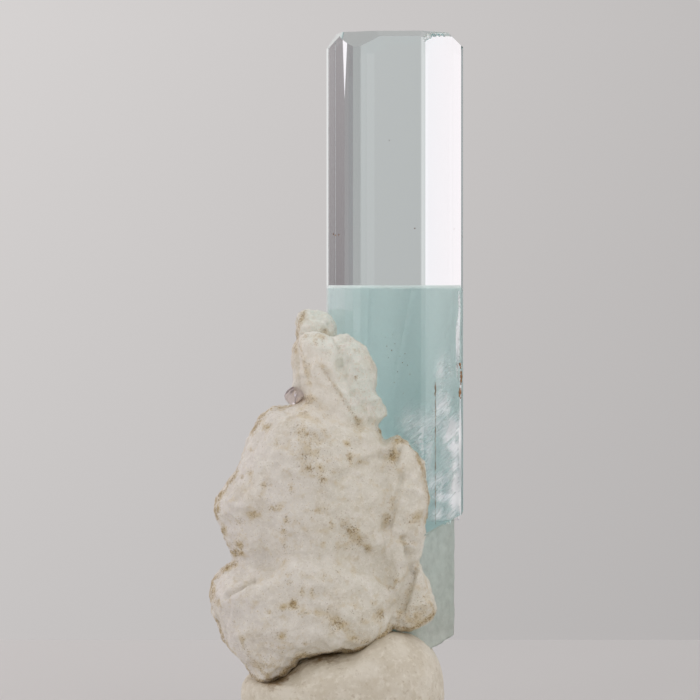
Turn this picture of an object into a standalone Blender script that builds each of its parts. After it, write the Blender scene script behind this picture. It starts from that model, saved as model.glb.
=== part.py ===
"""An aquamarine crystal grown on a lump of white albite, set upright in a foot of mounting clay.

Metres, +Z up, front towards -Y. The origin is on the resting face, under the middle of the foot.
Three pieces touch each other with a small gap: aquamarine_crystal, albite_matrix and clay_foot.
"""

import math

import bmesh
import bpy
import numpy as np
from mathutils import Vector

MM = 0.001
GAP = 0.3 * MM  # between pieces that touch

# ---------------------------------------------------------------- the crystal
# Beryl is hexagonal: six prism faces m, narrow bevels a between them, a flat basal face c on top,
# six low pyramid faces p over the prism faces and six steeper faces s over the bevels.
AXIS_X, AXIS_Y = 5.92 * MM, 4.0 * MM  # where the crystal's axis stands
TURN = -5.5  # degrees, how far the front prism face is turned from -Y
TOP = 86.6 * MM
LEDGE = 23.3 * MM  # where the smooth outer growth ends, on the axis
LEDGE_SLOPE = 27.5  # degrees, the ledge rises to the right
BROKEN_END = 11.2 * MM
CHIP = (10.6 * MM, 11.5 * MM, 26.0)  # x, z and slope in degrees of the chipped lower right corner
S_TILT, P_TILT = 45.0, 60.0  # degrees, how far the s and p faces look up

M_REACH = 7.54 * MM  # from the axis to each prism face
A_REACH = [8.54 * MM, 8.47 * MM, 8.05 * MM, 8.44 * MM, 8.42 * MM, 8.12 * MM]
# heights at which the p and s faces would meet the m and a faces
P_FOOT = [85.9 * MM, 86.05 * MM, 86.0 * MM, 86.0 * MM, 85.9 * MM, 85.95 * MM]
S_FOOT = [85.15 * MM, 84.8 * MM, 85.25 * MM, 85.05 * MM, 84.7 * MM, 84.7 * MM]
# the rougher core that shows under the ledge
CORE_M_REACH = [7.1 * MM, 6.85 * MM, 6.9 * MM, 7.2 * MM, 7.2 * MM, 7.2 * MM]
CORE_A_REACH = [8.0 * MM, 7.45 * MM, 7.5 * MM, 8.0 * MM, 8.0 * MM, 7.8 * MM]

# ---------------------------------------------------------------- the albite matrix
# Each lobe is a pebble: its outline seen from the front as (x, z) in mm, the y of its widest
# section, and how far it bulges forwards and backwards from there, also in mm.
LOBES = {
    "upper_boulder": ((-1.5, 10.0, 9.0), [
        (6.2, 33.2), (5.2, 36.2), (3.7, 38.7), (0.6, 40.3), (-1.8, 41.5), (-4.6, 42.0), (-6.7, 41.1),
        (-8.9, 41.0), (-10.2, 39.8), (-11.5, 37.6), (-12.8, 34.6), (-13.9, 32.2), (-15.6, 29.5),
        (-15.7, 27.9), (-14.8, 26.1), (-14.3, 23.8), (-12.2, 21.0), (-5.5, 18.5), (1.8, 18.5),
        (6.1, 22.2), (7.0, 27.7),
    ]),
    "lower_boulder": ((-1.0, 11.0, 10.0), [
        (7.2, 17.3), (5.9, 13.9), (4.1, 12.4), (1.8, 11.2), (-0.4, 10.9), (-3.0, 10.9), (-5.0, 10.4),
        (-6.2, 9.2), (-7.6, 8.1), (-9.5, 7.3), (-10.9, 7.7), (-12.3, 9.4), (-13.9, 11.3), (-14.8, 12.7),
        (-15.3, 14.2), (-16.1, 17.0), (-16.2, 18.1), (-15.9, 19.5), (-15.2, 20.9), (-13.8, 22.2),
        (-11.0, 24.6), (-5.5, 27.1), (0.6, 26.5), (5.7, 23.4),
    ]),
    "right_lobe": ((-3.0, 6.0, 5.0), [
        (10.4, 29.3), (9.9, 32.0), (9.4, 34.2), (8.5, 35.6), (7.6, 37.0), (6.5, 37.7), (5.2, 37.3),
        (4.0, 35.6), (3.5, 32.0), (3.3, 27.1), (3.8, 22.2), (4.8, 17.3), (6.0, 14.4), (7.0, 17.1),
        (7.9, 20.1), (8.9, 22.2), (9.5, 24.0), (9.9, 26.5),
    ]),
    "cleaved_block": ((-3.0, 3.6, 4.0), [
        (5.0, 40.3), (4.3, 42.1), (3.9, 43.6), (3.9, 45.1), (3.2, 47.1), (2.1, 48.8), (0.6, 49.8),
        (-0.9, 49.5), (-2.1, 48.4), (-2.3, 44.8), (-1.3, 41.1), (0.6, 38.3), (3.0, 37.8), (4.0, 38.8),
    ]),
    "column": ((-4.0, 4.0, 5.0), [
        (0.9, 42.3), (0.0, 44.4), (-0.9, 46.4), (-1.3, 48.4), (-2.4, 49.4), (-4.8, 49.7), (-5.6, 48.7),
        (-5.4, 46.0), (-4.8, 42.3), (-3.3, 39.3), (0.0, 37.5), (2.8, 37.8), (2.3, 40.3),
    ]),
    "left_wall": ((-1.0, 4.0, 6.0), [
        (-2.8, 44.2), (-3.5, 48.4), (-5.0, 49.3), (-5.9, 48.7), (-6.2, 47.8), (-6.2, 44.8),
        (-6.5, 42.7), (-5.5, 40.3), (-3.3, 39.9),
    ]),
    "pinnacle": ((1.8, 4.2, 5.5), [
        (0.9, 50.9), (0.0, 52.0), (-2.1, 52.2), (-3.3, 52.3), (-4.6, 52.7), (-5.4, 52.5), (-5.9, 51.2),
        (-5.6, 49.0), (-4.8, 46.2), (-1.8, 45.4), (0.6, 47.6),
    ]),
    "nub": ((-1.0, 1.6, 3.0), [
        (-5.6, 42.0), (-5.9, 42.8), (-6.6, 43.1), (-7.2, 42.6), (-7.4, 41.6), (-6.8, 40.7), (-5.9, 41.0),
    ]),
    "knob": ((-4.0, 3.0, 5.0), [
        (11.0, 16.5), (10.6, 17.7), (10.2, 18.5), (9.6, 20.1), (8.7, 20.9), (7.7, 19.8), (6.5, 17.3),
        (6.0, 15.1), (6.7, 14.2), (7.9, 14.0), (9.2, 14.6), (10.7, 15.5),
    ]),
    "backing": ((11.0, 3.0, 4.5), [
        (13.1, 36.8), (13.1, 46.6), (12.7, 54.9), (10.4, 55.5), (6.1, 55.4), (1.8, 55.5), (-1.5, 55.1),
        (-2.1, 50.3), (-2.4, 41.7), (-2.4, 32.0), (-2.1, 22.2), (0.0, 14.3), (5.5, 12.4), (10.6, 13.4),
        (12.3, 17.3), (12.8, 27.1),
    ]),
    "rear_mass": ((5.0, 6.0, 8.0), [
        (6.7, 32.0), (4.3, 38.1), (-1.8, 40.5), (-7.3, 38.1), (-11.0, 33.2), (-12.8, 28.3),
        (-12.2, 22.2), (-13.4, 17.3), (-11.0, 11.8), (-5.5, 12.4), (1.8, 12.4), (6.7, 16.1),
        (9.2, 22.2), (8.5, 28.3),
    ]),
    "rear_shoulder": ((10.0, 4.5, 5.0), [
        (9.0, 30.0), (6.5, 40.0), (2.0, 45.5), (-2.5, 46.5), (-4.6, 43.0), (-5.2, 36.0), (-7.5, 28.0),
        (-8.5, 21.0), (-6.0, 14.5), (0.0, 12.2), (6.0, 13.0), (9.5, 20.0),
    ]),
}

# Hollows and ridges on the front of the matrix: from (x, z) to (x, z), half-width and height in mm.
RELIEF = [
    ((-10.4, 26.4), (-9.6, 24.2), 2.6, -1.9),  # hollow at the left between the two boulders
    ((-5.0, 39.0), (-2.4, 24.0), 2.2, 0.6),  # long ridge down the upper boulder
    ((-12.8, 18.6), (-2.0, 20.4), 1.7, 0.7),  # brow of the lower boulder
    ((-0.2, 23.4), (4.6, 21.0), 1.3, -0.8),  # diagonal hollow at the middle
    ((7.2, 35.4), (7.3, 33.0), 0.8, -0.9),  # groove between boulder and right lobe, upper part
    ((7.2, 32.6), (4.9, 26.2), 0.8, -0.8),  # the same groove, lower part
    ((-10.4, 12.4), (-8.2, 11.0), 2.4, -0.9),  # flattened toe
    ((-1.0, 16.3), (-0.9, 16.0), 0.9, -0.5),  # pit in the lower boulder
    ((8.8, 21.0), (6.8, 15.4), 0.7, -0.8),  # groove before the knob
    ((-5.3, 46.5), (1.4, 39.2), 0.6, -0.6),  # seam between column and cleaved block
    ((-5.4, 49.5), (1.2, 49.6), 0.5, -0.7),  # seam under the pinnacle
]
FOOT = ((1.0, 12.0, 12.0), [
    (12.1, 7.0), (11.7, 9.2), (10.6, 11.2), (9.2, 12.8), (7.6, 13.7), (5.7, 13.5), (4.0, 12.3),
    (2.1, 10.6), (-0.6, 10.1), (-3.3, 9.8), (-5.5, 9.0), (-7.3, 8.1), (-9.2, 7.8), (-10.9, 7.9),
    (-12.0, 7.8), (-12.6, 6.8), (-12.7, 5.1), (-12.3, 2.4), (-10.9, -0.5), (-5.5, -2.2), (-0.2, -2.4),
    (5.0, -2.2), (10.4, -0.5), (11.6, 2.4), (12.1, 4.9),
])
LOBE_FULLNESS = 0.74  # under 1 makes a pebble blockier than an ellipsoid
FOOT_FULLNESS = 0.7
VOXEL = 0.6 * MM  # grain of the fused matrix
ROCK_TRIANGLES, FOOT_TRIANGLES = 7000, 1400


def remove_everything():
    for obj in list(bpy.data.objects):
        bpy.data.objects.remove(obj)


def material(name, colour, roughness, transmission=0.0):
    made = bpy.data.materials.new(name)
    made.use_nodes = True
    shader = made.node_tree.nodes["Principled BSDF"]
    shader.inputs["Base Color"].default_value = (*colour, 1.0)
    shader.inputs["Roughness"].default_value = roughness
    shader.inputs["Metallic"].default_value = 0.0
    shader.inputs["Transmission Weight"].default_value = transmission
    return made


def object_from(name, bm, finish=None):
    mesh = bpy.data.meshes.new(name)
    bm.to_mesh(mesh)
    bm.free()
    obj = bpy.data.objects.new(name, mesh)
    bpy.context.scene.collection.objects.link(obj)
    if finish:
        mesh.materials.append(finish)
    return obj


def as_cutter(obj):
    obj.hide_render = True
    obj.display_type = "WIRE"
    return obj


def settle(obj):
    """Makes the modifiers' result the object's own mesh."""
    bpy.context.view_layer.update()
    graph = bpy.context.evaluated_depsgraph_get()
    mesh = bpy.data.meshes.new_from_object(obj.evaluated_get(graph))
    obj.modifiers.clear()
    obj.data = mesh


def boolean(obj, operation, other):
    modifier = obj.modifiers.new(f"{operation.lower()}_{other.name}", "BOOLEAN")
    modifier.operation = operation
    modifier.object = other
    modifier.solver = "EXACT"


# ---------------------------------------------------------------- crystal faces
def face_plane(azimuth, tilt, reach, height):
    """A crystal face as (point, outward normal): reach from the axis at that height, looking up by tilt."""
    a, t = math.radians(azimuth + TURN), math.radians(tilt)
    out = Vector((math.sin(a), -math.cos(a), 0.0))
    point = Vector((AXIS_X, AXIS_Y, height)) + out * reach
    return point, out * math.cos(t) + Vector((0.0, 0.0, math.sin(t)))


def cut_by(bm, point, normal):
    """Cuts the closed body with a plane and closes it again, keeping the side behind the plane."""
    parts = bm.verts[:] + bm.edges[:] + bm.faces[:]
    cut = bmesh.ops.bisect_plane(bm, geom=parts, plane_co=point, plane_no=normal, clear_outer=True)
    rim = [e for e in cut["geom_cut"] if isinstance(e, bmesh.types.BMEdge)]
    if rim:
        bmesh.ops.contextual_create(bm, geom=rim)


def prism(m_reach, a_reach, low, high, grow=0.0):
    """A twelve-sided beryl prism between two heights, each side moved out by grow."""
    bm = bmesh.new()
    bmesh.ops.create_cube(bm, size=1.0)
    for v in bm.verts:
        v.co = Vector((AXIS_X + v.co.x * 30 * MM, AXIS_Y + v.co.y * 30 * MM, high if v.co.z > 0 else low))
    for k in range(6):
        cut_by(bm, *face_plane(60 * k, 0.0, m_reach[k] + grow, low))
        cut_by(bm, *face_plane(60 * k + 30, 0.0, a_reach[k] + grow, low))
    return bm


def ledge_normal():
    slope = math.radians(LEDGE_SLOPE)
    return Vector((math.sin(slope), 0.0, -math.cos(slope)))


def make_crystal(finish):
    shell = prism([M_REACH] * 6, A_REACH, 0.0, TOP)
    for k in range(6):
        cut_by(shell, *face_plane(60 * k, P_TILT, M_REACH, P_FOOT[k]))
        cut_by(shell, *face_plane(60 * k + 30, S_TILT, A_REACH[k], S_FOOT[k]))
    cut_by(shell, Vector((AXIS_X, AXIS_Y, LEDGE)), ledge_normal())

    core = prism(CORE_M_REACH, CORE_A_REACH, 0.0, LEDGE + 8 * MM)
    cut_by(core, Vector((AXIS_X, AXIS_Y, BROKEN_END)), Vector((-0.10, 0.06, -1.0)).normalized())
    x, z, slope = CHIP
    slope = math.radians(slope)
    cut_by(core, Vector((x, AXIS_Y, z)), Vector((math.sin(slope), 0.0, -math.cos(slope))))

    crystal = object_from("aquamarine_crystal", shell, finish)
    core = as_cutter(object_from("core_of_crystal", core))
    boolean(crystal, "UNION", core)
    return crystal


def clearance(name, m_reach, a_reach, low, high):
    """The crystal's own section moved out by the gap, to cut its seat in the pieces around it."""
    return as_cutter(object_from(name, prism(m_reach, a_reach, low, high, GAP)))


# ---------------------------------------------------------------- rock surfaces
def smooth_outline(points, share):
    """Where a smooth closed curve through the points is, at each share of the way round (0 to 1)."""
    p = np.array(points, float)
    at = share * len(p)
    k = np.floor(at).astype(int)
    t = (at - k)[:, None]
    a, b, c, d = (p[(k + shift) % len(p)] for shift in (-1, 0, 1, 2))
    return b + 0.5 * t * (c - a + t * (2 * a - 5 * b + 4 * c - d + t * (3 * (b - c) + d - a)))


def pebble(depths, outline, fullness, around=40, rings=20):
    """A closed body with that front outline, bulging forwards and backwards, in metres."""
    y_mid, forwards, backwards = depths
    middle = np.mean(outline, axis=0)
    bm = bmesh.new()
    bmesh.ops.create_uvsphere(bm, u_segments=around, v_segments=rings, radius=1.0)
    unit = np.array([v.co for v in bm.verts])
    ring = np.hypot(unit[:, 0], unit[:, 1]).clip(0, 1)
    share = (np.arctan2(unit[:, 1], unit[:, 0]) / (2 * math.pi)) % 1.0
    rim = smooth_outline(outline, share) - middle
    flat = middle + rim * (ring**fullness)[:, None]
    bulge = np.abs(unit[:, 2]) ** fullness * np.where(unit[:, 2] > 0, -forwards, backwards)
    for v, (x, z), y in zip(bm.verts, flat, y_mid + bulge):
        v.co = Vector((x, y, z)) * MM
    bmesh.ops.recalc_face_normals(bm, faces=bm.faces[:])
    return bm


def crag(points, size, seed, waves=14):
    """Smooth random relief, about -1 to 1, with swells of that size: a sum of plane waves."""
    random = np.random.default_rng(seed)
    heading = random.normal(size=(waves, 3))
    heading /= np.linalg.norm(heading, axis=1)[:, None]
    length = size * random.uniform(0.6, 1.5, waves)
    phase = random.uniform(0, 2 * math.pi, waves)
    turns = points @ (heading * (2 * math.pi / length)[:, None]).T
    return np.sin(turns + phase).sum(1) * math.sqrt(2 / waves) / 1.6


def front_relief(points, normals):
    """Height of the hollows and ridges: a bell across each line, fading on faces that don't look forwards."""
    x, z = points[:, 0] / MM, points[:, 2] / MM
    height = np.zeros(len(points))
    for (x1, z1), (x2, z2), width, rise in RELIEF:
        dx, dz = x2 - x1, z2 - z1
        along = (((x - x1) * dx + (z - z1) * dz) / (dx * dx + dz * dz)).clip(0, 1)
        away = np.hypot(x - x1 - along * dx, z - z1 - along * dz)
        height += rise * np.exp(-((away / width) ** 2))
    return height * (-normals[:, 1] * 1.6).clip(0, 1) * MM


def roughen(obj, swells, relief=None):
    """Moves each vertex along its normal by random swells, (size, height, seed), and by the relief."""
    mesh = obj.data
    count = len(mesh.vertices)
    points, normals = np.empty(count * 3), np.empty(count * 3)
    mesh.vertices.foreach_get("co", points)
    mesh.vertices.foreach_get("normal", normals)
    points, normals = points.reshape(-1, 3), normals.reshape(-1, 3)
    lift = sum(height * crag(points, size, seed) for size, height, seed in swells)
    if relief:
        lift = lift + relief(points, normals)
    mesh.vertices.foreach_set("co", (points + normals * lift[:, None]).ravel())
    mesh.update()


def fuse(obj, voxel):
    """Overlapping closed bodies made one skin."""
    modifier = obj.modifiers.new("fuse", "REMESH")
    modifier.mode = "VOXEL"
    modifier.voxel_size = voxel
    settle(obj)


def thin_to(obj, triangles):
    modifier = obj.modifiers.new("thin", "DECIMATE")
    modifier.ratio = min(1.0, triangles / (2 * len(obj.data.polygons)))
    modifier.use_collapse_triangulate = True
    settle(obj)


def make_rock(finish):
    bm = bmesh.new()
    for depths, outline in LOBES.values():
        lobe = pebble(depths, outline, LOBE_FULLNESS)
        scratch = bpy.data.meshes.new("lobe")
        lobe.to_mesh(scratch)
        lobe.free()
        bm.from_mesh(scratch)
        bpy.data.meshes.remove(scratch)
    rock = object_from("albite_matrix", bm, finish)
    fuse(rock, VOXEL)
    roughen(rock, [(7 * MM, 0.22 * MM, 3), (3 * MM, 0.12 * MM, 4)], front_relief)
    thin_to(rock, ROCK_TRIANGLES)
    return rock


def make_foot(finish, rock):
    foot = object_from("clay_foot", pebble(*FOOT, FOOT_FULLNESS), finish)
    fuse(foot, 1.0 * MM)
    roughen(foot, [(9 * MM, 0.18 * MM, 7)])
    thin_to(foot, FOOT_TRIANGLES)
    bm = bmesh.new()
    bm.from_mesh(foot.data)
    cut_by(bm, Vector((0.0, 0.0, 0.0)), Vector((0.0, 0.0, -1.0)))
    bm.to_mesh(foot.data)
    bm.free()
    seat = as_cutter(object_from("seat_of_rock", bmesh.new()))
    seat.data = rock.data.copy()
    swell = seat.modifiers.new("gap", "DISPLACE")
    swell.mid_level = 0.0
    swell.strength = GAP
    boolean(foot, "DIFFERENCE", seat)
    return foot


def main():
    remove_everything()
    crystal = make_crystal(material("aquamarine", (0.62, 0.84, 0.86), 0.05, 1.0))
    rock = make_rock(material("albite", (0.80, 0.76, 0.70), 0.6))
    foot = make_foot(material("mounting_clay", (0.76, 0.72, 0.65), 0.7), rock)
    around_shell = clearance("room_for_shell", [M_REACH] * 6, A_REACH, LEDGE - 6 * MM, TOP + 5 * MM)
    around_core = clearance("room_for_core", CORE_M_REACH, CORE_A_REACH, BROKEN_END - 3 * MM, LEDGE)
    for piece in (rock, foot):
        boolean(piece, "DIFFERENCE", around_shell)
        boolean(piece, "DIFFERENCE", around_core)
    return crystal, rock, foot


main()
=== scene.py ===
# %% [markdown]
# # Aquamarine on albite, on a clay foot
# A clear six-sided prism of beryl grew out of a lump of white albite, and the lump is pressed into
# a foot of mounting clay so that the crystal stands upright. The plain solids are loaded first.
# Every visible piece is then made in the same frame: metres, +Z up, front towards -Y.

import math

import bmesh
import bpy
import numpy as np
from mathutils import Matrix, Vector


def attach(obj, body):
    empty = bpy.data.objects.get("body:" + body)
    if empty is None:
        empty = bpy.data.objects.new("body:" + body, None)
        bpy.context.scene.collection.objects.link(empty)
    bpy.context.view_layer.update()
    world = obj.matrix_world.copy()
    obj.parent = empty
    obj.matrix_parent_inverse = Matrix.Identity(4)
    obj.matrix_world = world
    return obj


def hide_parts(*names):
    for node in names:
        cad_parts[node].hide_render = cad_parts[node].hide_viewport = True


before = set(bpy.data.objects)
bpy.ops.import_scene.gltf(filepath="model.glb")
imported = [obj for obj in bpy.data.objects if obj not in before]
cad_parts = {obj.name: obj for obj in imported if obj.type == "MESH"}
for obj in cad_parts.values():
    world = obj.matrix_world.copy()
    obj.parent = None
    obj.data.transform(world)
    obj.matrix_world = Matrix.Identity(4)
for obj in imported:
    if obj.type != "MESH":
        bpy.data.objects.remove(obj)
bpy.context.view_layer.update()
MM = 0.001
print("nodes:", sorted(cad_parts))

# %% [markdown]
# ## Small helpers
# Colours are written as sRGB hex, the way a paint chart gives them, and turned to the linear values
# that the renderer works in. One function adds a shader node with its settings and links, and one
# puts arrays of points and faces into a mesh object. The rest of the file is built from these.


# %% Colours, nodes and materials
def linear(hex_colour, brightness=1.0):
    """sRGB hex to linear RGBA: c / 12.92 for dark values, else ((c + 0.055) / 1.055) to the 2.4."""
    c = np.array([int(hex_colour[i:i + 2], 16) for i in (1, 3, 5)]) / 255
    value = np.where(c <= 0.04045, c / 12.92, ((c + 0.055) / 1.055) ** 2.4)
    return (*(value * brightness), 1.0)


def add(tree, kind, inputs=None, out=None, **settings):
    """Adds a shader node with its settings and links. inputs maps each socket to a value or to
    another node's output, and a hex value is made linear. out picks the output to give back;
    without it the node comes back."""
    made = tree.nodes.new("ShaderNode" + kind)
    for name, value in settings.items():
        setattr(made, name, value)
    for key, value in (inputs or {}).items():
        if isinstance(value, bpy.types.NodeSocket):
            tree.links.new(value, made.inputs[key])
        else:
            made.inputs[key].default_value = linear(value) if isinstance(value, str) else value
    return made if out is None else made.outputs[out]


def material(name, **values):
    """A new material, with the sockets of its surface shader set by name."""
    made = bpy.data.materials.new(name)
    made.use_nodes = True
    shader = made.node_tree.nodes["Principled BSDF"]
    for key, value in values.items():
        value = linear(value) if isinstance(value, str) else value
        shader.inputs[key.replace("_", " ")].default_value = value
    return made, made.node_tree, shader


# %% Meshes
def mesh_object(name, points, faces, finish=None, smooth=True):
    """An object from an array of points and a list of faces, each a list of point numbers."""
    mesh = bpy.data.meshes.new(name)
    mesh.from_pydata(points.tolist(), [], faces)
    mesh.polygons.foreach_set("use_smooth", np.full(len(mesh.polygons), smooth))
    mesh.update()
    made = bpy.data.objects.new(name, mesh)
    bpy.context.scene.collection.objects.link(made)
    if finish:
        mesh.materials.append(finish)
    return made


def values_of(items, what="co", width=3, kind=float):
    """One property of all points or faces, as an array with a row for each."""
    values = np.empty(len(items) * width, kind)
    items.foreach_get(what, values)
    return values.reshape(-1, width)


def set_mark(obj, name, values, kind="FLOAT", domain="POINT"):
    """Gives each point, or each face, a value that the object's material reads."""
    made = obj.data.attributes.new(name, kind, domain)
    key = "vector" if kind == "FLOAT_VECTOR" else "value"
    made.data.foreach_set(key, np.ravel(values).astype(np.float32))


def settle(obj):
    """Makes the modifiers' result the object's own mesh."""
    bpy.context.view_layer.update()
    graph = bpy.context.evaluated_depsgraph_get()
    mesh = bpy.data.meshes.new_from_object(obj.evaluated_get(graph))
    obj.modifiers.clear()
    obj.data = mesh


def boolean(obj, operation, other):
    """Cuts obj by another closed piece, or joins the two, and removes the other."""
    modifier = obj.modifiers.new(operation, "BOOLEAN")
    modifier.operation = operation
    modifier.object = other
    modifier.solver = "MANIFOLD"
    modifier.material_mode = "TRANSFER"
    settle(obj)
    bpy.data.objects.remove(other)


def slice_by(obj, planes):
    """Cuts away what lies on the normal's side of each plane (point, normal) and closes the
    wound."""
    bm = bmesh.new()
    bm.from_mesh(obj.data)
    for point, normal in planes:
        parts = bm.verts[:] + bm.edges[:] + bm.faces[:]
        cut = bmesh.ops.bisect_plane(bm, geom=parts, plane_co=point, plane_no=normal,
                                     clear_outer=True)
        rim = [e for e in cut["geom_cut"] if isinstance(e, bmesh.types.BMEdge)]
        if rim:
            bmesh.ops.contextual_create(bm, geom=rim)
    bm.to_mesh(obj.data)
    bm.free()


def finish_with(obj, finish):
    """Gives every face the one finish, whatever material a cut has left on it."""
    obj.data.polygons.foreach_set("material_index", np.zeros(len(obj.data.polygons), int))
    obj.data.materials.clear()
    obj.data.materials.append(finish)


# %% [markdown]
# ## Closed bodies from grids
# Nearly everything here is one kind of surface: rings of points stacked one above another and
# closed by a point at each end. A crystal's rings are its cross-section, a pebble's rings shrink to
# its two poles. So one function turns an array of rings into a closed body, and the shapes differ
# only in how their rings are computed.


# %% Rings to a closed body
def ringed_body(rings, first_pole, last_pole):
    """rings has shape (rows, columns, 3). Quads join each ring to the next, and triangles reach
    the poles."""
    rows, columns = rings.shape[:2]
    index = np.arange(rows * columns).reshape(rows, columns)
    after = np.roll(index, -1, axis=1)
    quads = np.stack([index[:-1], after[:-1], after[1:], index[1:]], axis=-1).reshape(-1, 4)
    start, end = rows * columns, rows * columns + 1
    fan_start = np.stack([after[0], index[0], np.full(columns, start)], axis=-1)
    fan_end = np.stack([index[-1], after[-1], np.full(columns, end)], axis=-1)
    points = np.concatenate([rings.reshape(-1, 3), [first_pole], [last_pole]])
    return points, quads.tolist() + fan_start.tolist() + fan_end.tolist()


def joined(bodies):
    """Several bodies as one, each one's point numbers moved past those before it."""
    points, faces, start = [], [], 0
    for body_points, body_faces in bodies:
        points.append(body_points)
        faces += [[i + start for i in face] for face in body_faces]
        start += len(body_points)
    return np.concatenate(points), faces


WAVES = 14


def swell(points, size, seed):
    """Smooth random relief of about -1 to 1 with bumps of that size: a sum of plane waves."""
    random = np.random.default_rng(seed)
    heading = random.normal(size=(WAVES, 3))
    heading /= np.linalg.norm(heading, axis=1)[:, None]
    length = size * random.uniform(0.6, 1.5, WAVES)
    phase = random.uniform(0, 2 * math.pi, WAVES)
    turns = points @ (heading * (2 * math.pi / length)[:, None]).T
    return np.sin(turns + phase).sum(1) * math.sqrt(2 / WAVES) / 1.6


def creases(points, size, seed):
    """Folded swells: 1 - 2 |swell|, so rounded lumps meet in sharp valleys."""
    return 1 - 2 * np.abs(swell(points, size, seed))


# %% [markdown]
# ## Camera, sky and table
# The camera stands well back with a long lens, so the upright edges stay upright, and as high as
# the stone that backs the crystal, whose level top is then seen exactly edge on. A clear crystal
# shows its surroundings, so those matter as much as its own shape: a soft white panel stands behind
# it at the left, the studio is dark behind it at the right, and a pale grey paper fills the view
# between. These are all painted on the sky by compass direction, which lights the stone evenly as a
# light tent does.

# %% Camera
FILM_WIDTH = 36.0  # mm
FRAME_WIDTH = 85.4 * MM
CAMERA_BACK = 600 * MM
EYE_HEIGHT = 55.5 * MM
AIM = Vector((0.61 * MM, 0.0, 47.8 * MM))

camera_data = bpy.data.cameras.new("camera")
camera_data.sensor_width = FILM_WIDTH
camera_data.lens = FILM_WIDTH * CAMERA_BACK / FRAME_WIDTH
camera_data.clip_start = 10 * MM
camera = bpy.data.objects.new("camera", camera_data)
camera.location = (AIM.x, -CAMERA_BACK, EYE_HEIGHT)
camera.rotation_euler = (AIM - camera.location).to_track_quat("-Z", "Y").to_euler()
bpy.context.scene.collection.objects.link(camera)
bpy.context.scene.camera = camera
bpy.context.scene.view_settings.view_transform = "Standard"
# light is thrown back and forth inside the crystal many times before it leaves
cycles = bpy.context.scene.cycles
cycles.max_bounces, cycles.transmission_bounces, cycles.glossy_bounces = 32, 32, 32
cycles.diffuse_bounces, cycles.blur_glossy = 8, 0.0
print("lens", round(camera_data.lens), "mm")

# %% Sky by compass direction
# degrees from straight ahead to the right, brightness at two heights, tint
PAPER, CARD, SHADE = "#FFFBFA", "#FFF4F7", "#FFF3F5"
PANORAMA = [
    (-180, 0.85, 0.87, PAPER), (-175, 0.12, 0.14, PAPER), (-162, 0.12, 0.14, PAPER),
    (-155, 1.00, 1.02, PAPER), (-150, 0.40, 0.42, PAPER), (-136, 0.40, 0.42, PAPER),
    (-130, 1.10, 1.10, PAPER), (-100, 1.06, 1.06, PAPER),
    (-80, 0.90, 0.92, PAPER), (-70, 1.05, 1.05, CARD), (-60, 1.08, 1.08, CARD),
    (-30, 1.08, 1.08, CARD), (-24, 0.70, 0.76, PAPER),
    (-9, 0.63, 0.73, PAPER), (-3.5, 0.56, 0.66, PAPER), (3.5, 0.475, 0.54, PAPER),
    (10, 0.39, 0.445, PAPER), (19, 0.37, 0.38, PAPER),
    (30, 0.25, 0.26, PAPER), (37, 0.25, 0.28, SHADE), (38.3, 1.00, 1.10, CARD),
    (41.6, 1.00, 1.10, CARD), (42.8, 0.00, 0.27, SHADE), (50, 0.00, 0.27, SHADE),
    (56, 0.10, 0.18, SHADE), (62, 0.90, 0.95, PAPER), (92, 0.90, 0.95, PAPER),
    (105, 0.80, 0.83, PAPER), (125, 0.68, 0.68, PAPER), (140, 0.70, 0.70, PAPER),
    (155, 0.97, 1.00, PAPER), (180, 0.85, 0.87, PAPER),
]
LOW_VIEW, HIGH_VIEW = -4, 3  # degrees above eye level that the two brightnesses are for
OVERHEAD = 1.0
FADE_FROM, FADE_TO = 0.25, 0.9  # how far up the unit sphere the plain overhead light fades in


def compass_ramp(tree, turn, column):
    """A colour ramp round the horizon from one brightness column of the panorama."""
    ramp = add(tree, "ValToRGB", {0: turn})
    stops = ramp.color_ramp.elements
    while len(stops) < len(PANORAMA):
        stops.new(0.5)
    for stop, row in zip(stops, PANORAMA):
        stop.position = row[0] / 360 + 0.5
        stop.color = linear(row[3], row[column])
    return ramp.outputs[0]


def make_sky():
    """The share of a full turn, (atan2(x, y) + pi) / 2 pi, picks a colour from each ramp; the
    height picks between the ramps and then fades to the overhead light."""
    world = bpy.data.worlds.new("light tent")
    world.use_nodes = True
    tree = world.node_tree
    way = add(tree, "SeparateXYZ", {0: add(tree, "TexCoord", out="Generated")}).outputs
    angle = add(tree, "Math", {0: way["X"], 1: way["Y"]}, 0, operation="ARCTAN2")
    turn = add(tree, "Math", {0: angle, 1: 1 / (2 * math.pi), 2: 0.5}, 0, operation="MULTIPLY_ADD")
    level, raised = (compass_ramp(tree, turn, column) for column in (1, 2))
    low, high = (math.sin(math.radians(tilt)) for tilt in (LOW_VIEW, HIGH_VIEW))
    rise = add(tree, "MapRange", {0: way["Z"], 1: low, 2: high}, 0)
    near = {"Factor": rise, "A": level, "B": raised}
    near = add(tree, "Mix", near, "Result", data_type="RGBA")
    lift = {0: way["Z"], 1: FADE_FROM, 2: FADE_TO}
    lift = add(tree, "MapRange", lift, 0, interpolation_type="SMOOTHSTEP")
    sky = {"Factor": lift, "A": near, "B": linear(PAPER, OVERHEAD)}
    sky = add(tree, "Mix", sky, "Result", data_type="RGBA")
    tree.links.new(sky, tree.nodes["Background"].inputs["Color"])
    bpy.context.scene.world = world


make_sky()
print("directions in the sky:", len(PANORAMA))

# %% Table
TABLE_FAR_EDGE, TABLE_REACH = 173 * MM, 900 * MM
# painted shade: the paper's colour darkens from left to right, standing in for light from the left
PAPER_SHADE_REACH = 80 * MM  # the paper darkens from left to right over twice this
FRONT_START, FRONT_END = 50 * MM, -40 * MM  # and turns paler towards the front between these
PAPER_LEFT, PAPER_RIGHT, PAPER_FRONT = "#BBB9B8", "#9A9A99", "#E8E6E4"


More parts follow.
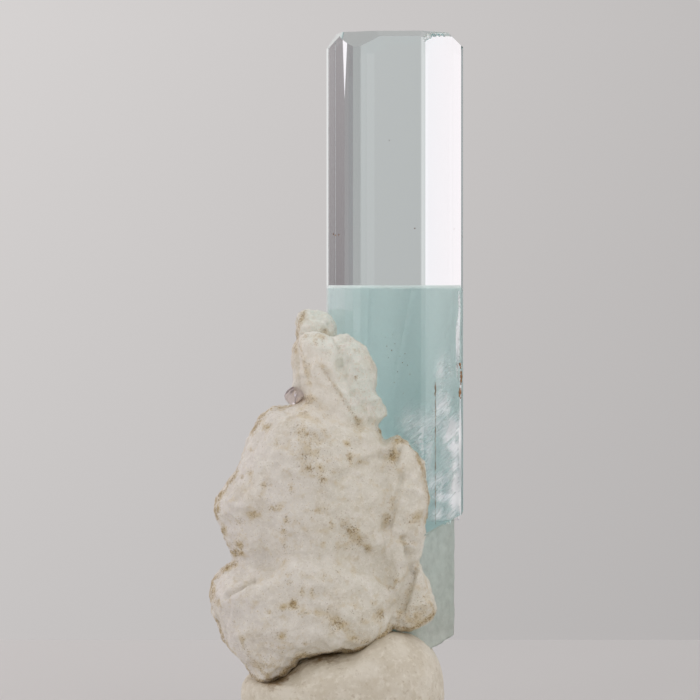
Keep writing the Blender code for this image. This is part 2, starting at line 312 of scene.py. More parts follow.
def make_table():
    """A flat sheet of matt paper whose far edge is a little behind the stone, as a table's is. It
    is painted darker towards the right as painted shade, and paler towards the front. Its loose
    fibres give a sheen, which makes it look paler at a low angle."""
    finish, tree, shader = material("table paper", Roughness=0.8, Sheen_Weight=0.55)
    place = add(tree, "SeparateXYZ", {0: add(tree, "TexCoord", out="Object")}).outputs
    # painted shade: the paper is painted darker from left to right
    across = add(tree, "MapRange", {0: place["X"], 1: -PAPER_SHADE_REACH, 2: PAPER_SHADE_REACH}, 0)
    ramp = add(tree, "ValToRGB", {0: across})
    for stop, colour in zip(ramp.color_ramp.elements, (PAPER_LEFT, PAPER_RIGHT)):
        stop.color = linear(colour)
    front = add(tree, "MapRange", {0: place["Y"], 1: FRONT_START, 2: FRONT_END}, 0)
    paint = {"Factor": front, "A": ramp.outputs[0], "B": PAPER_FRONT}
    paint = add(tree, "Mix", paint, "Result", data_type="RGBA")
    tree.links.new(paint, shader.inputs["Base Color"])
    x, y = np.meshgrid([-TABLE_REACH, TABLE_REACH], [-TABLE_REACH, TABLE_FAR_EDGE])
    points = np.stack([x.ravel(), y.ravel(), np.zeros(4)], axis=1)
    return mesh_object("table", points, [[0, 1, 3, 2]], finish, smooth=False)


make_table()
print("far edge of the table:", round(TABLE_FAR_EDGE / MM), "mm back")

# %% [markdown]
# ## The beryl prism
# Beryl grows as a six-sided prism with flat ends. This one has all its textbook faces: six broad
# prism faces, a narrow bevel on each upright edge, the flat basal face on top, and low and steep
# pyramid faces where that meets the sides. Each face is a plane at its own distance from the axis,
# so the cross-section is found by crossing neighbouring lines rather than drawn. The broad faces
# carry fine upright growth steps, about a hundredth of a millimetre high, and every edge has a
# hair-thin chamfer that catches the light.

# %% Cross-section
AXIS = np.array([5.92, 4.0]) * MM
TURN = -5.5  # degrees
TOP = 86.6 * MM
# distances of the twelve sides from the axis, from the front one round to the right, for the outer
# growth and for the etched core
SHELL_REACH = np.array([
    7.54, 8.54, 7.54, 8.65, 7.54, 8.60, 7.54, 8.63, 7.54, 8.42, 7.54, 8.20,
]) * MM
CORE_REACH = np.array([7.1, 8.0, 6.85, 7.45, 6.9, 7.5, 7.2, 8.0, 7.2, 8.0, 7.2, 7.8]) * MM
SIDE_AZIMUTHS = np.radians(np.arange(12) * 30.0 + TURN)
SIDE_NORMALS = np.stack([np.sin(SIDE_AZIMUTHS), -np.cos(SIDE_AZIMUTHS)], axis=1)


def corners(reach):
    """Where each side line n.p = reach crosses the next one: Cramer's rule on all pairs at once."""
    n, m = SIDE_NORMALS, np.roll(SIDE_NORMALS, -1, axis=0)
    d, e = reach, np.roll(reach, -1)
    cross = n[:, 0] * m[:, 1] - n[:, 1] * m[:, 0]
    x, y = d * m[:, 1] - e * n[:, 1], n[:, 0] * e - m[:, 0] * d
    return AXIS + np.stack([x, y], axis=1) / cross[:, None]


def outward(outline):
    """Unit directions from the axis to each point of an outline."""
    out = outline - AXIS
    return out / np.linalg.norm(out, axis=1)[:, None]


# %% Growth steps
STEP_HEIGHT = 0.012 * MM
STEP_WIDTH = 0.03 * MM
CHAMFER = 0.03 * MM
STEP_SEED = 2
# shares of the way along each side where a growth step is
STEPS = [
    [0.93], [0.45], [0.47, 0.52, 0.59, 0.66, 0.72], [0.5], [0.2, 0.5, 0.7], [0.5], [], [0.5],
    [0.3, 0.6], [0.4], [0.2, 0.45, 0.6, 0.75, 0.85], [0.12, 0.2, 0.35, 0.88],
]


def striated_outline():
    """Each side as flat strips: pairs of points moved along the side's normal by up to a step."""
    random = np.random.default_rng(STEP_SEED)
    ends = corners(SHELL_REACH)
    strips = []
    for side, cuts in enumerate(STEPS):
        a, b = ends[side - 1], ends[side]
        length = np.linalg.norm(b - a)
        cuts = np.array(cuts)
        starts = np.concatenate([[CHAMFER / length], cuts + STEP_WIDTH / 2 / length])
        stops = np.concatenate([cuts - STEP_WIDTH / 2 / length, [1 - CHAMFER / length]])
        share = np.stack([starts, stops], axis=1).ravel()
        rise = np.repeat(random.uniform(-1, 1, len(starts)), 2) * STEP_HEIGHT
        strips.append(a + (b - a) * share[:, None] + SIDE_NORMALS[side] * rise[:, None])
    return np.concatenate(strips)


outline = striated_outline()
print("points round the prism:", len(outline))

# %% [markdown]
# ## Where the smooth growth stops
# Low on the crystal the clear outer growth ends in an oblique, splintery ledge, and a frosted inner
# prism, etched while the crystal was still in its pocket, goes on down to a broken end. Both are
# ringed bodies. The ledge is the outer body's lowest ring, dropped to a sloping plane and made
# jagged. The inner body has many rings, so its skin can be etched into shallow upright ribs.

# %% Ledge
LEDGE, LEDGE_SLOPE = 23.3 * MM, math.tan(math.radians(27.5))
JAG = 0.25 * MM
LEDGE_CAP = (0.94, 0.88, 0.8, 0.5, 0.2)  # sizes of the rings that close it below


def ledge_height(x):
    """A plane that rises to the right, at its middle height on the axis."""
    return LEDGE + (x - AXIS[0]) * LEDGE_SLOPE


def upright(outline, z):
    """An outline in plan as a ring of points at height z, or at a height for each point."""
    return np.concatenate([outline, np.broadcast_to(z, len(outline))[:, None]], axis=1)


def shell_body(outline, top, jag):
    """The outline carried up from the sloping ledge; a cap of shrinking rings closes it below."""
    low = ledge_height(outline[:, 0])
    rough = upright(outline, low)
    tooth = jag * (swell(rough, 1.1 * MM, 5) + 0.5 * swell(rough, 0.4 * MM, 6))
    rings = [upright(outline, top), upright(outline, low + tooth)]
    for shrink in LEDGE_CAP:
        inner = AXIS + (outline - AXIS) * shrink
        ring = upright(inner, ledge_height(inner[:, 0]))
        ring[:, 2] += 0.5 * jag * swell(ring, 0.7 * MM, 7)
        rings.append(ring)
    rings = np.array(rings)[::-1]
    return ringed_body(rings, [*AXIS, ledge_height(AXIS[0])], [*AXIS, top])


# %% Core
BROKEN_END = 11.2 * MM
CHIP_X, CHIP_Z, CHIP_SLOPE = 10.6 * MM, 11.5 * MM, math.tan(math.radians(26.0))
RIB = 0.035 * MM
END_CAP = (0.2, 0.5, 0.75, 0.9, 0.97)  # sizes of the rings across the broken end
RIB_STRETCH = [1.0, 1.0, 0.25]  # squeezes the height, so the ribs come out four times as tall


def end_height(x):
    """The broken end: level, and then a chip that slopes up to the right."""
    return np.maximum(BROKEN_END, CHIP_Z + (x - CHIP_X) * CHIP_SLOPE)


def core_outline(reach, per_side):
    """The corners with points spaced evenly between them."""
    ends = corners(reach)
    share = (np.arange(per_side) / per_side)[:, None]
    sides = [ends[i - 1] + (ends[i] - ends[i - 1]) * share for i in range(12)]
    return np.concatenate(sides)


def core_body(reach, top, rib, per_side=14, rows=46):
    """Rings up the height, moved in and out by upright ribs, on a splintery end."""
    around = core_outline(reach, per_side)
    end = end_height(around[:, 0])
    caps = []
    for shrink in END_CAP:
        inner = AXIS + (around - AXIS) * shrink
        ring = upright(inner, end_height(inner[:, 0]))
        ring[:, 2] += rib * 2 * swell(ring, 1.5 * MM, 8)
        caps.append(ring)
    walls = []
    for share in np.linspace(0, 1, rows) ** 1.1:
        ring = upright(around, end + (top - end) * share)
        stretched = ring * RIB_STRETCH
        depth = swell(stretched, 0.9 * MM, 9) + 0.6 * swell(stretched, 0.35 * MM, 10)
        ring[:, :2] += outward(around) * (rib * depth)[:, None]
        if share == 0:
            ring[:, 2] += rib * 3 * swell(ring, 1.0 * MM, 11)
        walls.append(ring)
    return ringed_body(np.array(caps + walls), [*AXIS, BROKEN_END], [*AXIS, top])


# %% [markdown]
# ## Cutting the top
# The basal face and the pyramid faces are plane cuts, which is how a crystal model is usually
# made: whatever stands outside a face's plane is sliced away and the wound closed. Small
# shell-shaped chips along the front right top edge are taken out with little ellipsoids.

# %% Top faces
# six low faces above the broad sides and six steep ones above the narrow sides: degrees that each
# looks up, the height where it leaves its side, and degrees that a steep one is turned off its
# edge. The last two low ones would leave theirs above the basal face, so they cut nothing
P_TILT, S_TILT = 60.0, [45.0, 45.0, 45.0, 45.0, 34.5, 45.0]
P_FOOT = [85.9 * MM, 86.05 * MM, 86.4 * MM, 86.55 * MM, 86.7 * MM, 86.7 * MM]
S_FOOT = [85.6 * MM, 84.8 * MM, 86.3 * MM, 86.3 * MM, 84.7 * MM, 84.7 * MM]
S_TWIST = [10.0, 0.0, 0.0, 0.0, 0.0, 0.0]
# narrow vicinal faces as azimuth, tilt and reach a little below the top: an upright one on the
# front left edge, a sliver beside it that narrows down and ends 9 mm below the top, a pale band on
# the top left, and one on each of the two outermost edges
VICINAL_FACES = [
    (-49.8, 0.0, 7.792 * MM), (-54.75, 0.40, 7.6534 * MM), (-76.5, 34.5, 8.045 * MM),
    (-78.0, 0.0, 7.983 * MM), (77.5, 0.0, 8.3125 * MM),
]
VICINAL_DROP = 2 * MM


def face_plane(azimuth, tilt, reach, height):
    """A point on a face, reach from the axis at that height, and its normal, looking up by
    tilt."""
    a, t = math.radians(azimuth + TURN), math.radians(tilt)
    out = Vector((math.sin(a), -math.cos(a), 0.0))
    point = Vector((*AXIS, height)) + out * reach
    return point, out * math.cos(t) + Vector((0, 0, math.sin(t)))


def top_faces():
    """The basal face, the low and steep pyramid faces by turns, and the vicinal faces."""
    planes = [face_plane(0.0, 90.0, 0.0, TOP)]
    for k in range(6):
        broad, narrow = SHELL_REACH[2 * k], SHELL_REACH[2 * k + 1]
        planes.append(face_plane(60 * k, P_TILT, broad, P_FOOT[k]))
        planes.append(face_plane(60 * k + 30 + S_TWIST[k], S_TILT[k], narrow, S_FOOT[k]))
    return planes + [face_plane(*face, TOP - VICINAL_DROP) for face in VICINAL_FACES]


print("faces to cut at the top:", len(top_faces()))


# %% Chips
# shell-shaped chips along the top of the right front face: x, z and radius in mm
CHIPS = [
    (9.7, 85.45, 0.3), (9.95, 85.75, 0.42), (10.3, 85.95, 0.44), (10.65, 86.2, 0.4),
    (10.9, 86.1, 0.3), (11.15, 86.35, 0.44), (11.4, 86.15, 0.26), (11.6, 86.4, 0.42),
    (11.95, 86.2, 0.28), (12.1, 86.45, 0.4), (12.45, 86.3, 0.26), (12.7, 86.5, 0.3),
]


def ellipsoids(centres, radii, around=8, rows=5):
    """Small closed pebbles: unit sphere rings scaled and moved to each centre, all in one mesh."""
    u = np.arange(around) * 2 * math.pi / around
    v = (np.arange(rows) + 1) * math.pi / (rows + 1)
    flat = [np.sin(v)[:, None] * np.cos(u), np.sin(v)[:, None] * np.sin(u)]
    ring = np.stack(np.broadcast_arrays(*flat, np.cos(v)[:, None]), axis=-1)
    unit, faces = ringed_body(ring[::-1], [0, 0, -1], [0, 0, 1])
    points = (unit[None] * radii[:, None] + centres[:, None]).reshape(-1, 3)
    count = len(unit)
    return points, [[i + k * count for i in face] for k in range(len(centres)) for face in faces]


def on_side(side, x, lift=0.0):
    """The y at which the prism's side plane n.p = reach + lift stands at each x."""
    nx, ny = SIDE_NORMALS[side]
    return AXIS[1] + (SHELL_REACH[side] + lift - nx * (x - AXIS[0])) / ny


def chip_edge(obj, finish):
    """Each chip is a small ellipsoid centred just under the face, or under the bevel above it."""
    for x, z, size in np.array(CHIPS) * MM:
        back = max(0.0, z - P_FOOT[1]) * math.tan(math.radians(P_TILT))
        centre = np.array([[x, on_side(2, x, -back - 0.1 * size), z]])
        bowl = ellipsoids(centre, np.array([[size, size, 0.8 * size]]), 10, 6)
        boolean(obj, "DIFFERENCE", mesh_object("chip", *bowl, finish, False))


# %% [markdown]
# ## Beryl as a material
# Aquamarine is beryl tinted by a trace of iron. Its faces are glass-smooth, with an index of about
# 1.575, and the tint is so faint that it only shows through a thickness: a ray that crosses the
# crystal once loses an eighth of its red, and one that is thrown back and forth turns teal. So the
# surface is colourless, and the colour is absorption in the volume. Each face of the etched core
# carries a frost value of 1, which makes it rough and lets it scatter part of the light.

# %% Beryl
BERYL_IOR = 1.575
POLISHED, FROSTED = 0.0, 0.45
CLEAR_SHARE, FROSTED_SHARE = 1.0, 0.55  # how much of the light goes through
ABSORPTION = 10.0
TINT = (0.19, 0.735, 0.78, 1.0)
PIT_SIZE, PIT_DARK, PIT_PALE = 1.2 * MM, "#D6D7CE", "#F0F1E9"


def beryl_finish():
    """Clear as glass where it is polished; pale, mottled and silky where it is etched."""
    finish, tree, shader = material("aquamarine beryl", IOR=BERYL_IOR)
    frost = add(tree, "Attribute", out="Fac", attribute_name="frost")
    place = add(tree, "TexCoord", out="Object")
    pits = {"Vector": place, "Scale": 1 / PIT_SIZE, "Detail": 5.0, "Roughness": 0.65}
    pits = add(tree, "MapRange", {0: add(tree, "TexNoise", pits, "Fac"), 1: 0.35, 2: 0.65}, 0)
    skin = {"Factor": pits, "A": PIT_DARK, "B": PIT_PALE}
    skin = add(tree, "Mix", skin, "Result", data_type="RGBA")
    paint = {"Factor": frost, "A": (1, 1, 1, 1), "B": skin}
    paint = add(tree, "Mix", paint, "Result", data_type="RGBA")
    tree.links.new(paint, shader.inputs["Base Color"])
    rough = add(tree, "MapRange", {0: frost, 3: POLISHED, 4: FROSTED}, 0)
    through = add(tree, "MapRange", {0: frost, 3: CLEAR_SHARE, 4: FROSTED_SHARE}, 0)
    tree.links.new(rough, shader.inputs["Roughness"])
    tree.links.new(through, shader.inputs["Transmission Weight"])
    volume = add(tree, "VolumeAbsorption", {"Color": TINT, "Density": ABSORPTION}, 0)
    tree.links.new(volume, tree.nodes["Material Output"].inputs["Volume"])
    return finish


# %% Crystal
TRIM = 1 * MM  # stands above the top until the basal face is cut
CORE_OVERLAP = 8 * MM
OVERHANG = -0.2  # faces that look down more than this are the ledge's underside


def make_crystal():
    """The outer growth with its cut top, joined to the core; frost marks the etched faces."""
    polished = bpy.data.materials.new("polished")
    etched = bpy.data.materials.new("etched")
    shell = shell_body(outline, TOP + TRIM, JAG)
    made = mesh_object("beryl_prism", *shell, polished, False)
    slice_by(made, top_faces())
    chip_edge(made, polished)
    core = core_body(CORE_REACH, LEDGE + CORE_OVERLAP, RIB)
    boolean(made, "UNION", mesh_object("core", *core, etched))
    slot = values_of(made.data.polygons, "material_index", 1, int)[:, 0]
    looks_down = values_of(made.data.polygons, "normal")[:, 2] < OVERHANG
    set_mark(made, "frost", (slot == 1) | (slot == 0) & looks_down, domain="FACE")
    finish_with(made, beryl_finish())
    return made


crystal = make_crystal()
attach(crystal, "root")
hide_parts("aquamarine_crystal")
print("crystal faces:", len(crystal.data.polygons))

# %% [markdown]
# ## What is inside the crystal
# Low on the right the beryl cracked while it grew and healed again. A healed crack is a curved veil
# of tiny fluid pockets: white, feathery, and see-through between its streaks. It is made as one
# thin closed sheet that follows the faces just under half a millimetre down, and an attribute says
# how thick the cloud is at each point. A second, open crack let iron in and shows as a brown
# thread. Both are real geometry, so they stay where they are in every view.

# %% Veil's place
VEIL_DEPTH, VEIL_THICK = 0.45 * MM, 0.03 * MM
VEIL_LOW, VEIL_HIGH, VEIL_ROW = 26.9 * MM, 55.2 * MM, 0.22 * MM
VEIL_WAVE, VEIL_WAVE_SIZE = 0.10 * MM, 3.5 * MM
# clouds as x, z, half-width, half-height in mm, strength
CLOUDS = [
    (11.8, 45.2, 0.9, 1.7, 0.4), (11.8, 42.0, 0.8, 0.9, 0.5), (11.6, 40.7, 0.8, 0.8, 0.8),
    (13.1, 38.5, 0.7, 1.1, 1.4), (12.6, 37.3, 0.9, 0.7, 0.8), (11.4, 38.7, 0.8, 0.9, 0.45),
    (13.2, 35.9, 0.6, 0.8, 1.4), (13.4, 33.8, 0.4, 0.9, 0.8), (13.5, 32.1, 0.4, 1.1, 1.4),
    (13.4, 30.4, 0.5, 1.2, 1.6), (13.3, 28.9, 0.6, 0.8, 1.3), (11.8, 29.9, 1.1, 0.5, 0.8),
    (11.4, 31.8, 0.9, 0.9, 0.5), (10.0, 38.7, 0.6, 1.2, 0.4), (9.9, 35.9, 0.5, 1.5, 0.4),
    (9.7, 33.8, 0.5, 1.2, 0.3), (10.3, 31.4, 0.4, 0.9, 0.4), (11.8, 27.7, 1.4, 0.7, 0.6),
    (14.0, 35.0, 0.12, 6.0, 9.0), (13.55, 48.0, 0.1, 2.0, 5.0), (13.75, 52.0, 0.07, 3.4, 3.0),
    (12.6, 33.0, 1.6, 6.0, 0.22), (8.3, 38.8, 1.5, 1.8, 0.28), (8.9, 36.6, 1.0, 1.2, 0.22),
]
STREAK_TILT, STREAK_LENGTH, STREAK_WIDTH = math.radians(42), 1.7 * MM, 0.38 * MM
# the corners that each leg runs between, the share of it where the veil starts, its points
VEIL_LEGS = [(11, 0, 0.55, 18), (0, 1, 0.0, 6), (1, 2, 0.0, 44), (2, 3, 0.0, 8)]


def veil_path(depth):
    """Along the prism's section at that depth, from the middle of the front face round to the
    far right edge."""
    ends = corners(SHELL_REACH - depth)
    legs = [ends[a] + (ends[b] - ends[a]) * np.linspace(start, 1, count, endpoint=False)[:, None]
            for a, b, start, count in VEIL_LEGS]
    return np.concatenate(legs)


# %% Veil
def veil_finish():
    """Tiny fluid pockets throw the light back, so it is silvery where the cloud times the
    slanting streaks is dense. The streaks are noise, drawn out along the streak attribute."""
    finish, tree, shader = material("healed crack veil", Metallic=1.0, Roughness=0.38,
                                    Base_Color="#FBFDFF")
    streak = add(tree, "Attribute", out="Vector", attribute_name="streak")
    wisp = {"Vector": streak, "Scale": 1.0, "Detail": 5.0, "Roughness": 0.65, "Distortion": 0.6}
    wisp = add(tree, "TexNoise", wisp, "Fac")
    wisp = add(tree, "MapRange", {0: wisp, 1: 0.34, 2: 0.62, 3: 0.14, 4: 1.45}, 0)
    cloud = add(tree, "Attribute", out="Fac", attribute_name="cloud")
    cover = add(tree, "Math", {0: wisp, 1: cloud}, 0, operation="MULTIPLY", use_clamp=True)
    tree.links.new(cover, shader.inputs["Alpha"])
    return finish


def make_veil():
    """The path and its inner copy as one loop, carried upwards and moved in and out by a slow
    wave. cloud is the sum of strength times exp(-(x / half-width)^2 - (z / half-height)^2); streak
    is the place along and across the slant, in streak lengths and widths."""
    loop = np.concatenate([veil_path(VEIL_DEPTH), veil_path(VEIL_DEPTH + VEIL_THICK)[::-1]])
    rings = np.array([upright(loop, z) for z in np.arange(VEIL_LOW, VEIL_HIGH, VEIL_ROW)])
    wave = VEIL_WAVE * swell(rings.reshape(-1, 3), VEIL_WAVE_SIZE, 21).reshape(rings.shape[:2])
    rings[..., :2] += outward(loop) * wave[..., None]
    ends = [[*np.mean(rings[k, :, :2], axis=0), rings[k, 0, 2]] for k in (0, -1)]
    made = mesh_object("healed_veil", *ringed_body(rings, *ends), veil_finish())
    x, _, z = values_of(made.data.vertices).T
    cloud = sum(strength * np.exp(-(((x / MM - cx) / wide) ** 2) - ((z / MM - cz) / high) ** 2)
                for cx, cz, wide, high, strength in CLOUDS)
    along = (x * math.cos(STREAK_TILT) + z * math.sin(STREAK_TILT)) / STREAK_LENGTH
    across = (z * math.cos(STREAK_TILT) - x * math.sin(STREAK_TILT)) / STREAK_WIDTH
    set_mark(made, "cloud", cloud)
    set_mark(made, "streak", np.stack([along, across, across * 0], axis=1), "FLOAT_VECTOR")
    return made


veil = make_veil()
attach(veil, "root")
print("veil faces:", len(veil.data.polygons))

# %% [markdown]
# ## Iron in and on the crystal
# The open crack is a thread a tenth of a millimetre wide, fatter at its top end where the iron
# pooled. Rust also sits as a chain of crusts on the sharp right edge, and as specks inside. Each is
# a string or a handful of small pebbles, all in one mesh, with the dull brown of limonite.

# %% Crack, crusts and specks
CRACK_X, CRACK_LOW, CRACK_HIGH = 10.85 * MM, 26.6 * MM, 43.9 * MM
CRACK_DEPTH, CRACK_HALF_WIDTH = 0.35 * MM, 0.055 * MM
# crusts, specks and gilt dust: x, z, half-width, half-height in mm, and how deep under their face
CRUSTS = [
    (14.05, 46.0, 0.16, 0.24, 0.02), (14.15, 45.6, 0.1, 0.16, 0.0), (14.2, 45.0, 0.14, 0.24, 0.0),
    (14.22, 44.5, 0.18, 0.32, 0.0), (14.2, 44.0, 0.16, 0.28, 0.0), (14.15, 43.6, 0.08, 0.14, 0.02),
    (14.05, 43.0, 0.12, 0.18, 0.02), (14.05, 42.6, 0.22, 0.32, 0.0), (14.0, 42.2, 0.14, 0.22, 0.03),
    (14.15, 41.9, 0.09, 0.12, 0.0), (10.85, 43.3, 0.17, 0.36, 0.3), (10.9, 42.9, 0.14, 0.3, 0.3),
    (10.8, 42.5, 0.11, 0.22, 0.3), (13.05, 62.6, 0.06, 0.06, 0.6),
]
SPECKS = [
    (8.5, 62.6, 0.08, 0.07, 0.8), (5.45, 73.3, 0.06, 0.05, 1.5), (5.7, 47.8, 0.08, 0.07, 0.8),
    (7.0, 46.3, 0.07, 0.06, 0.9), (7.3, 47.4, 0.05, 0.05, 1.0), (5.1, 48.3, 0.05, 0.05, 0.9),
    (6.4, 45.2, 0.06, 0.05, 0.7), (6.1, 48.6, 0.05, 0.04, 1.1), (5.3, 46.9, 0.05, 0.04, 0.8),
    (7.6, 46.0, 0.05, 0.05, 0.9), (6.7, 47.1, 0.04, 0.04, 0.8), (7.9, 44.9, 0.05, 0.05, 0.7),
    (4.9, 49.4, 0.04, 0.04, 0.9), (6.0, 43.9, 0.05, 0.05, 0.8), (5.8, 49.7, 0.04, 0.04, 1.0),
    (7.1, 42.6, 0.04, 0.04, 0.8),
]
GILT = [
    (-1.4, 61.95, 0.1, 0.09, 0.0), (-1.15, 61.8, 0.08, 0.07, 0.0), (-0.75, 61.85, 0.07, 0.09, 0.0),
]


def pebbles_on(side, rows):
    """Pebbles on one of the prism's sides, or a little under it."""
    x, z, half, high, deep = np.array(rows).T * MM
    centres = np.stack([x, on_side(side, x, -deep), z], axis=1)
    return ellipsoids(centres, np.stack([half, half, high], axis=1))


def rust_bodies():
    """The crack as a wobbling string of thin rings, then a pebble for each crust and speck."""
    z = np.linspace(CRACK_LOW, CRACK_HIGH, 90)
    spots = np.stack([z * 0, z * 0, z], axis=1)
    wide = CRACK_HALF_WIDTH * (1 + 0.5 * swell(spots, 1.2 * MM, 31)).clip(0.3, 2)
    x = CRACK_X + 0.02 * MM * swell(spots, 2.5 * MM, 32)
    y = on_side(2, x, -CRACK_DEPTH)
    u = np.arange(6) * math.pi / 3
    ring_x = x[:, None] + wide[:, None] * np.cos(u)
    ring_y = y[:, None] + wide[:, None] * 0.6 * np.sin(u)
    rings = np.stack([ring_x, ring_y, np.broadcast_to(z[:, None], ring_x.shape)], axis=-1)
    crack = ringed_body(rings, [x[0], y[0], z[0]], [x[-1], y[-1], z[-1]])
    return joined([crack, pebbles_on(2, CRUSTS), pebbles_on(0, SPECKS), pebbles_on(10, GILT)])


# %% Rust
RUST_GRAIN, RUST_DARK, RUST_PALE = 0.25 * MM, "#7A5439", "#B4875F"


def rust_finish():
    """Limonite is an earthy iron oxide: dull, and blotched from dark brown to ochre."""
    finish, tree, shader = material("limonite rust", Roughness=0.8)
    place = add(tree, "TexCoord", out="Object")
    grain = add(tree, "TexNoise", {"Vector": place, "Scale": 1 / RUST_GRAIN, "Detail": 3.0}, "Fac")
    share = add(tree, "MapRange", {0: grain, 1: 0.4, 2: 0.6}, 0)
    paint = {"Factor": share, "A": RUST_DARK, "B": RUST_PALE}
    body = add(tree, "Mix", paint, "Result", data_type="RGBA")
    tree.links.new(body, shader.inputs["Base Color"])
    return finish


rust = mesh_object("iron_rust", *rust_bodies(), rust_finish())
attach(rust, "root")
print("rust faces:", len(rust.data.polygons))

# %% [markdown]
# ## The albite lump
# Albite, a white feldspar, grew as a heap of rounded knobs. Each knob is a pebble: its outline seen
# from the front is a smooth closed curve through a few chosen points, and it bulges forwards and
# backwards from there. The pebbles overlap, so a voxel remesh fuses them into one skin, which numpy
# then pushes in and out: named hollows and ridges first, then swells, then a fine grain.

# %% Lobes, in mm
# name: ((y of the widest section, bulge forwards, bulge backwards), outline as (x, z))
LOBES = {
    "upper_boulder": ((-1.5, 10.0, 9.0), [
        (6.2, 33.2), (5.2, 36.2), (3.7, 38.7), (0.6, 40.3), (-1.8, 41.5), (-4.6, 42.0),
        (-6.7, 41.1), (-8.9, 41.0), (-10.2, 39.8), (-11.5, 37.6), (-12.8, 34.6), (-13.9, 32.2),
        (-15.6, 29.5), (-15.7, 27.9), (-14.8, 26.1), (-14.3, 23.8), (-12.2, 21.0), (-5.5, 18.5),
        (1.8, 18.5), (6.1, 22.2), (7.0, 27.7),
    ]),
    "lower_boulder": ((-1.0, 11.0, 10.0), [
        (7.2, 17.3), (5.9, 13.9), (4.1, 12.4), (1.8, 11.2), (-0.4, 10.9), (-3.0, 10.9),
        (-5.0, 10.4), (-6.2, 9.2), (-7.6, 8.1), (-9.5, 7.3), (-10.9, 7.7), (-12.3, 9.4),
        (-13.9, 11.3), (-14.8, 12.7), (-15.3, 14.2), (-16.1, 17.0), (-16.2, 18.1), (-15.9, 19.5),
        (-15.2, 20.9), (-13.8, 22.2), (-11.0, 24.6), (-5.5, 27.1), (0.6, 26.5), (5.7, 23.4),
    ]),
    "right_lobe": ((-3.0, 6.0, 5.0), [
        (10.4, 29.3), (9.9, 32.0), (9.4, 34.2), (8.5, 35.6), (7.6, 37.0), (6.5, 37.7), (5.2, 37.3),
        (4.0, 35.6), (3.5, 32.0), (3.3, 27.1), (3.8, 22.2), (4.8, 17.3), (6.0, 14.4), (7.0, 17.1),
        (7.9, 20.1), (8.9, 22.2), (9.5, 24.0), (9.9, 26.5),
    ]),
    "cleaved_block": ((-3.0, 3.6, 4.0), [
        (5.0, 40.3), (4.3, 42.1), (3.9, 43.6), (3.9, 45.1), (3.2, 47.1), (2.1, 48.8), (0.6, 49.8),
        (-0.9, 49.5), (-2.1, 48.4), (-2.3, 44.8), (-1.3, 41.1), (0.6, 38.3), (3.0, 37.8),
        (4.0, 38.8),
    ]),
    "column": ((-4.0, 4.0, 5.0), [
        (0.9, 42.3), (0.0, 44.4), (-0.9, 46.4), (-1.3, 48.4), (-2.4, 49.4), (-4.8, 49.7),
        (-5.6, 48.7), (-5.4, 46.0), (-4.8, 42.3), (-3.3, 39.3), (0.0, 37.5), (2.8, 37.8),
        (2.3, 40.3),
    ]),
    "left_wall": ((-1.0, 4.0, 6.0), [
        (-2.8, 44.2), (-3.5, 48.4), (-5.0, 49.3), (-5.9, 48.7), (-6.2, 47.8), (-6.2, 44.8),
        (-6.5, 42.7), (-5.5, 40.3), (-3.3, 39.9),
    ]),
    "pinnacle": ((1.8, 4.2, 5.5), [
        (-1.3, 50.6), (-1.6, 51.6), (-2.4, 52.2), (-3.4, 52.4), (-4.6, 52.7), (-5.4, 52.5),
        (-5.9, 51.2), (-5.6, 49.0), (-4.8, 46.2), (-1.8, 45.4), (-0.6, 47.6),
    ]),
    "knob": ((-4.2, 3.2, 5.0), [
        (11.0, 16.5), (10.6, 17.7), (10.2, 18.5), (9.6, 20.4), (8.9, 22.0), (7.4, 21.2),
        (5.8, 17.6), (5.2, 15.1), (6.2, 13.9), (7.9, 13.9), (9.2, 14.6), (10.7, 15.5),
    ]),
    "web": ((-3.2, 1.2, 3.0), [
        (8.9, 21.8), (8.7, 18.5), (8.1, 15.4), (6.3, 14.8), (5.9, 18.0), (6.6, 21.6),
    ]),
    "waist": ((-1.0, 6.8, 5.0), [
        (-13.2, 22.3), (-12.5, 24.0), (-10.0, 25.0), (-7.0, 24.6), (-6.0, 22.5), (-7.5, 20.6),
        (-10.5, 20.0), (-12.8, 20.8),
    ]),
    "backing": ((11.0, 3.0, 4.5), [
        (13.1, 36.8), (13.1, 46.6), (13.0, 55.4), (10.4, 56.1), (6.1, 56.0), (1.8, 56.1),
        (-1.7, 55.7), (-2.1, 50.3), (-2.4, 41.7), (-2.4, 32.0), (-2.1, 22.2), (0.0, 14.3),
        (5.5, 12.4), (10.6, 13.4), (12.3, 17.3), (12.8, 27.1),
    ]),
    "rear_mass": ((5.0, 6.0, 8.0), [
        (6.7, 32.0), (4.3, 38.1), (-1.8, 40.5), (-7.3, 38.1), (-11.0, 33.2), (-12.8, 28.3),
        (-12.2, 22.2), (-13.4, 17.3), (-11.0, 11.8), (-5.5, 12.4), (1.8, 12.4), (6.7, 16.1),
        (9.2, 22.2), (8.5, 28.3),
    ]),
    "rear_shoulder": ((10.0, 4.5, 5.0), [
        (9.0, 30.0), (6.5, 40.0), (2.0, 45.5), (-2.5, 46.5), (-4.6, 43.0), (-5.2, 36.0),
        (-7.5, 28.0), (-8.5, 21.0), (-6.0, 14.5), (0.0, 12.2), (6.0, 13.0), (9.5, 20.0),
    ]),
}
print("lobes:", ", ".join(LOBES))

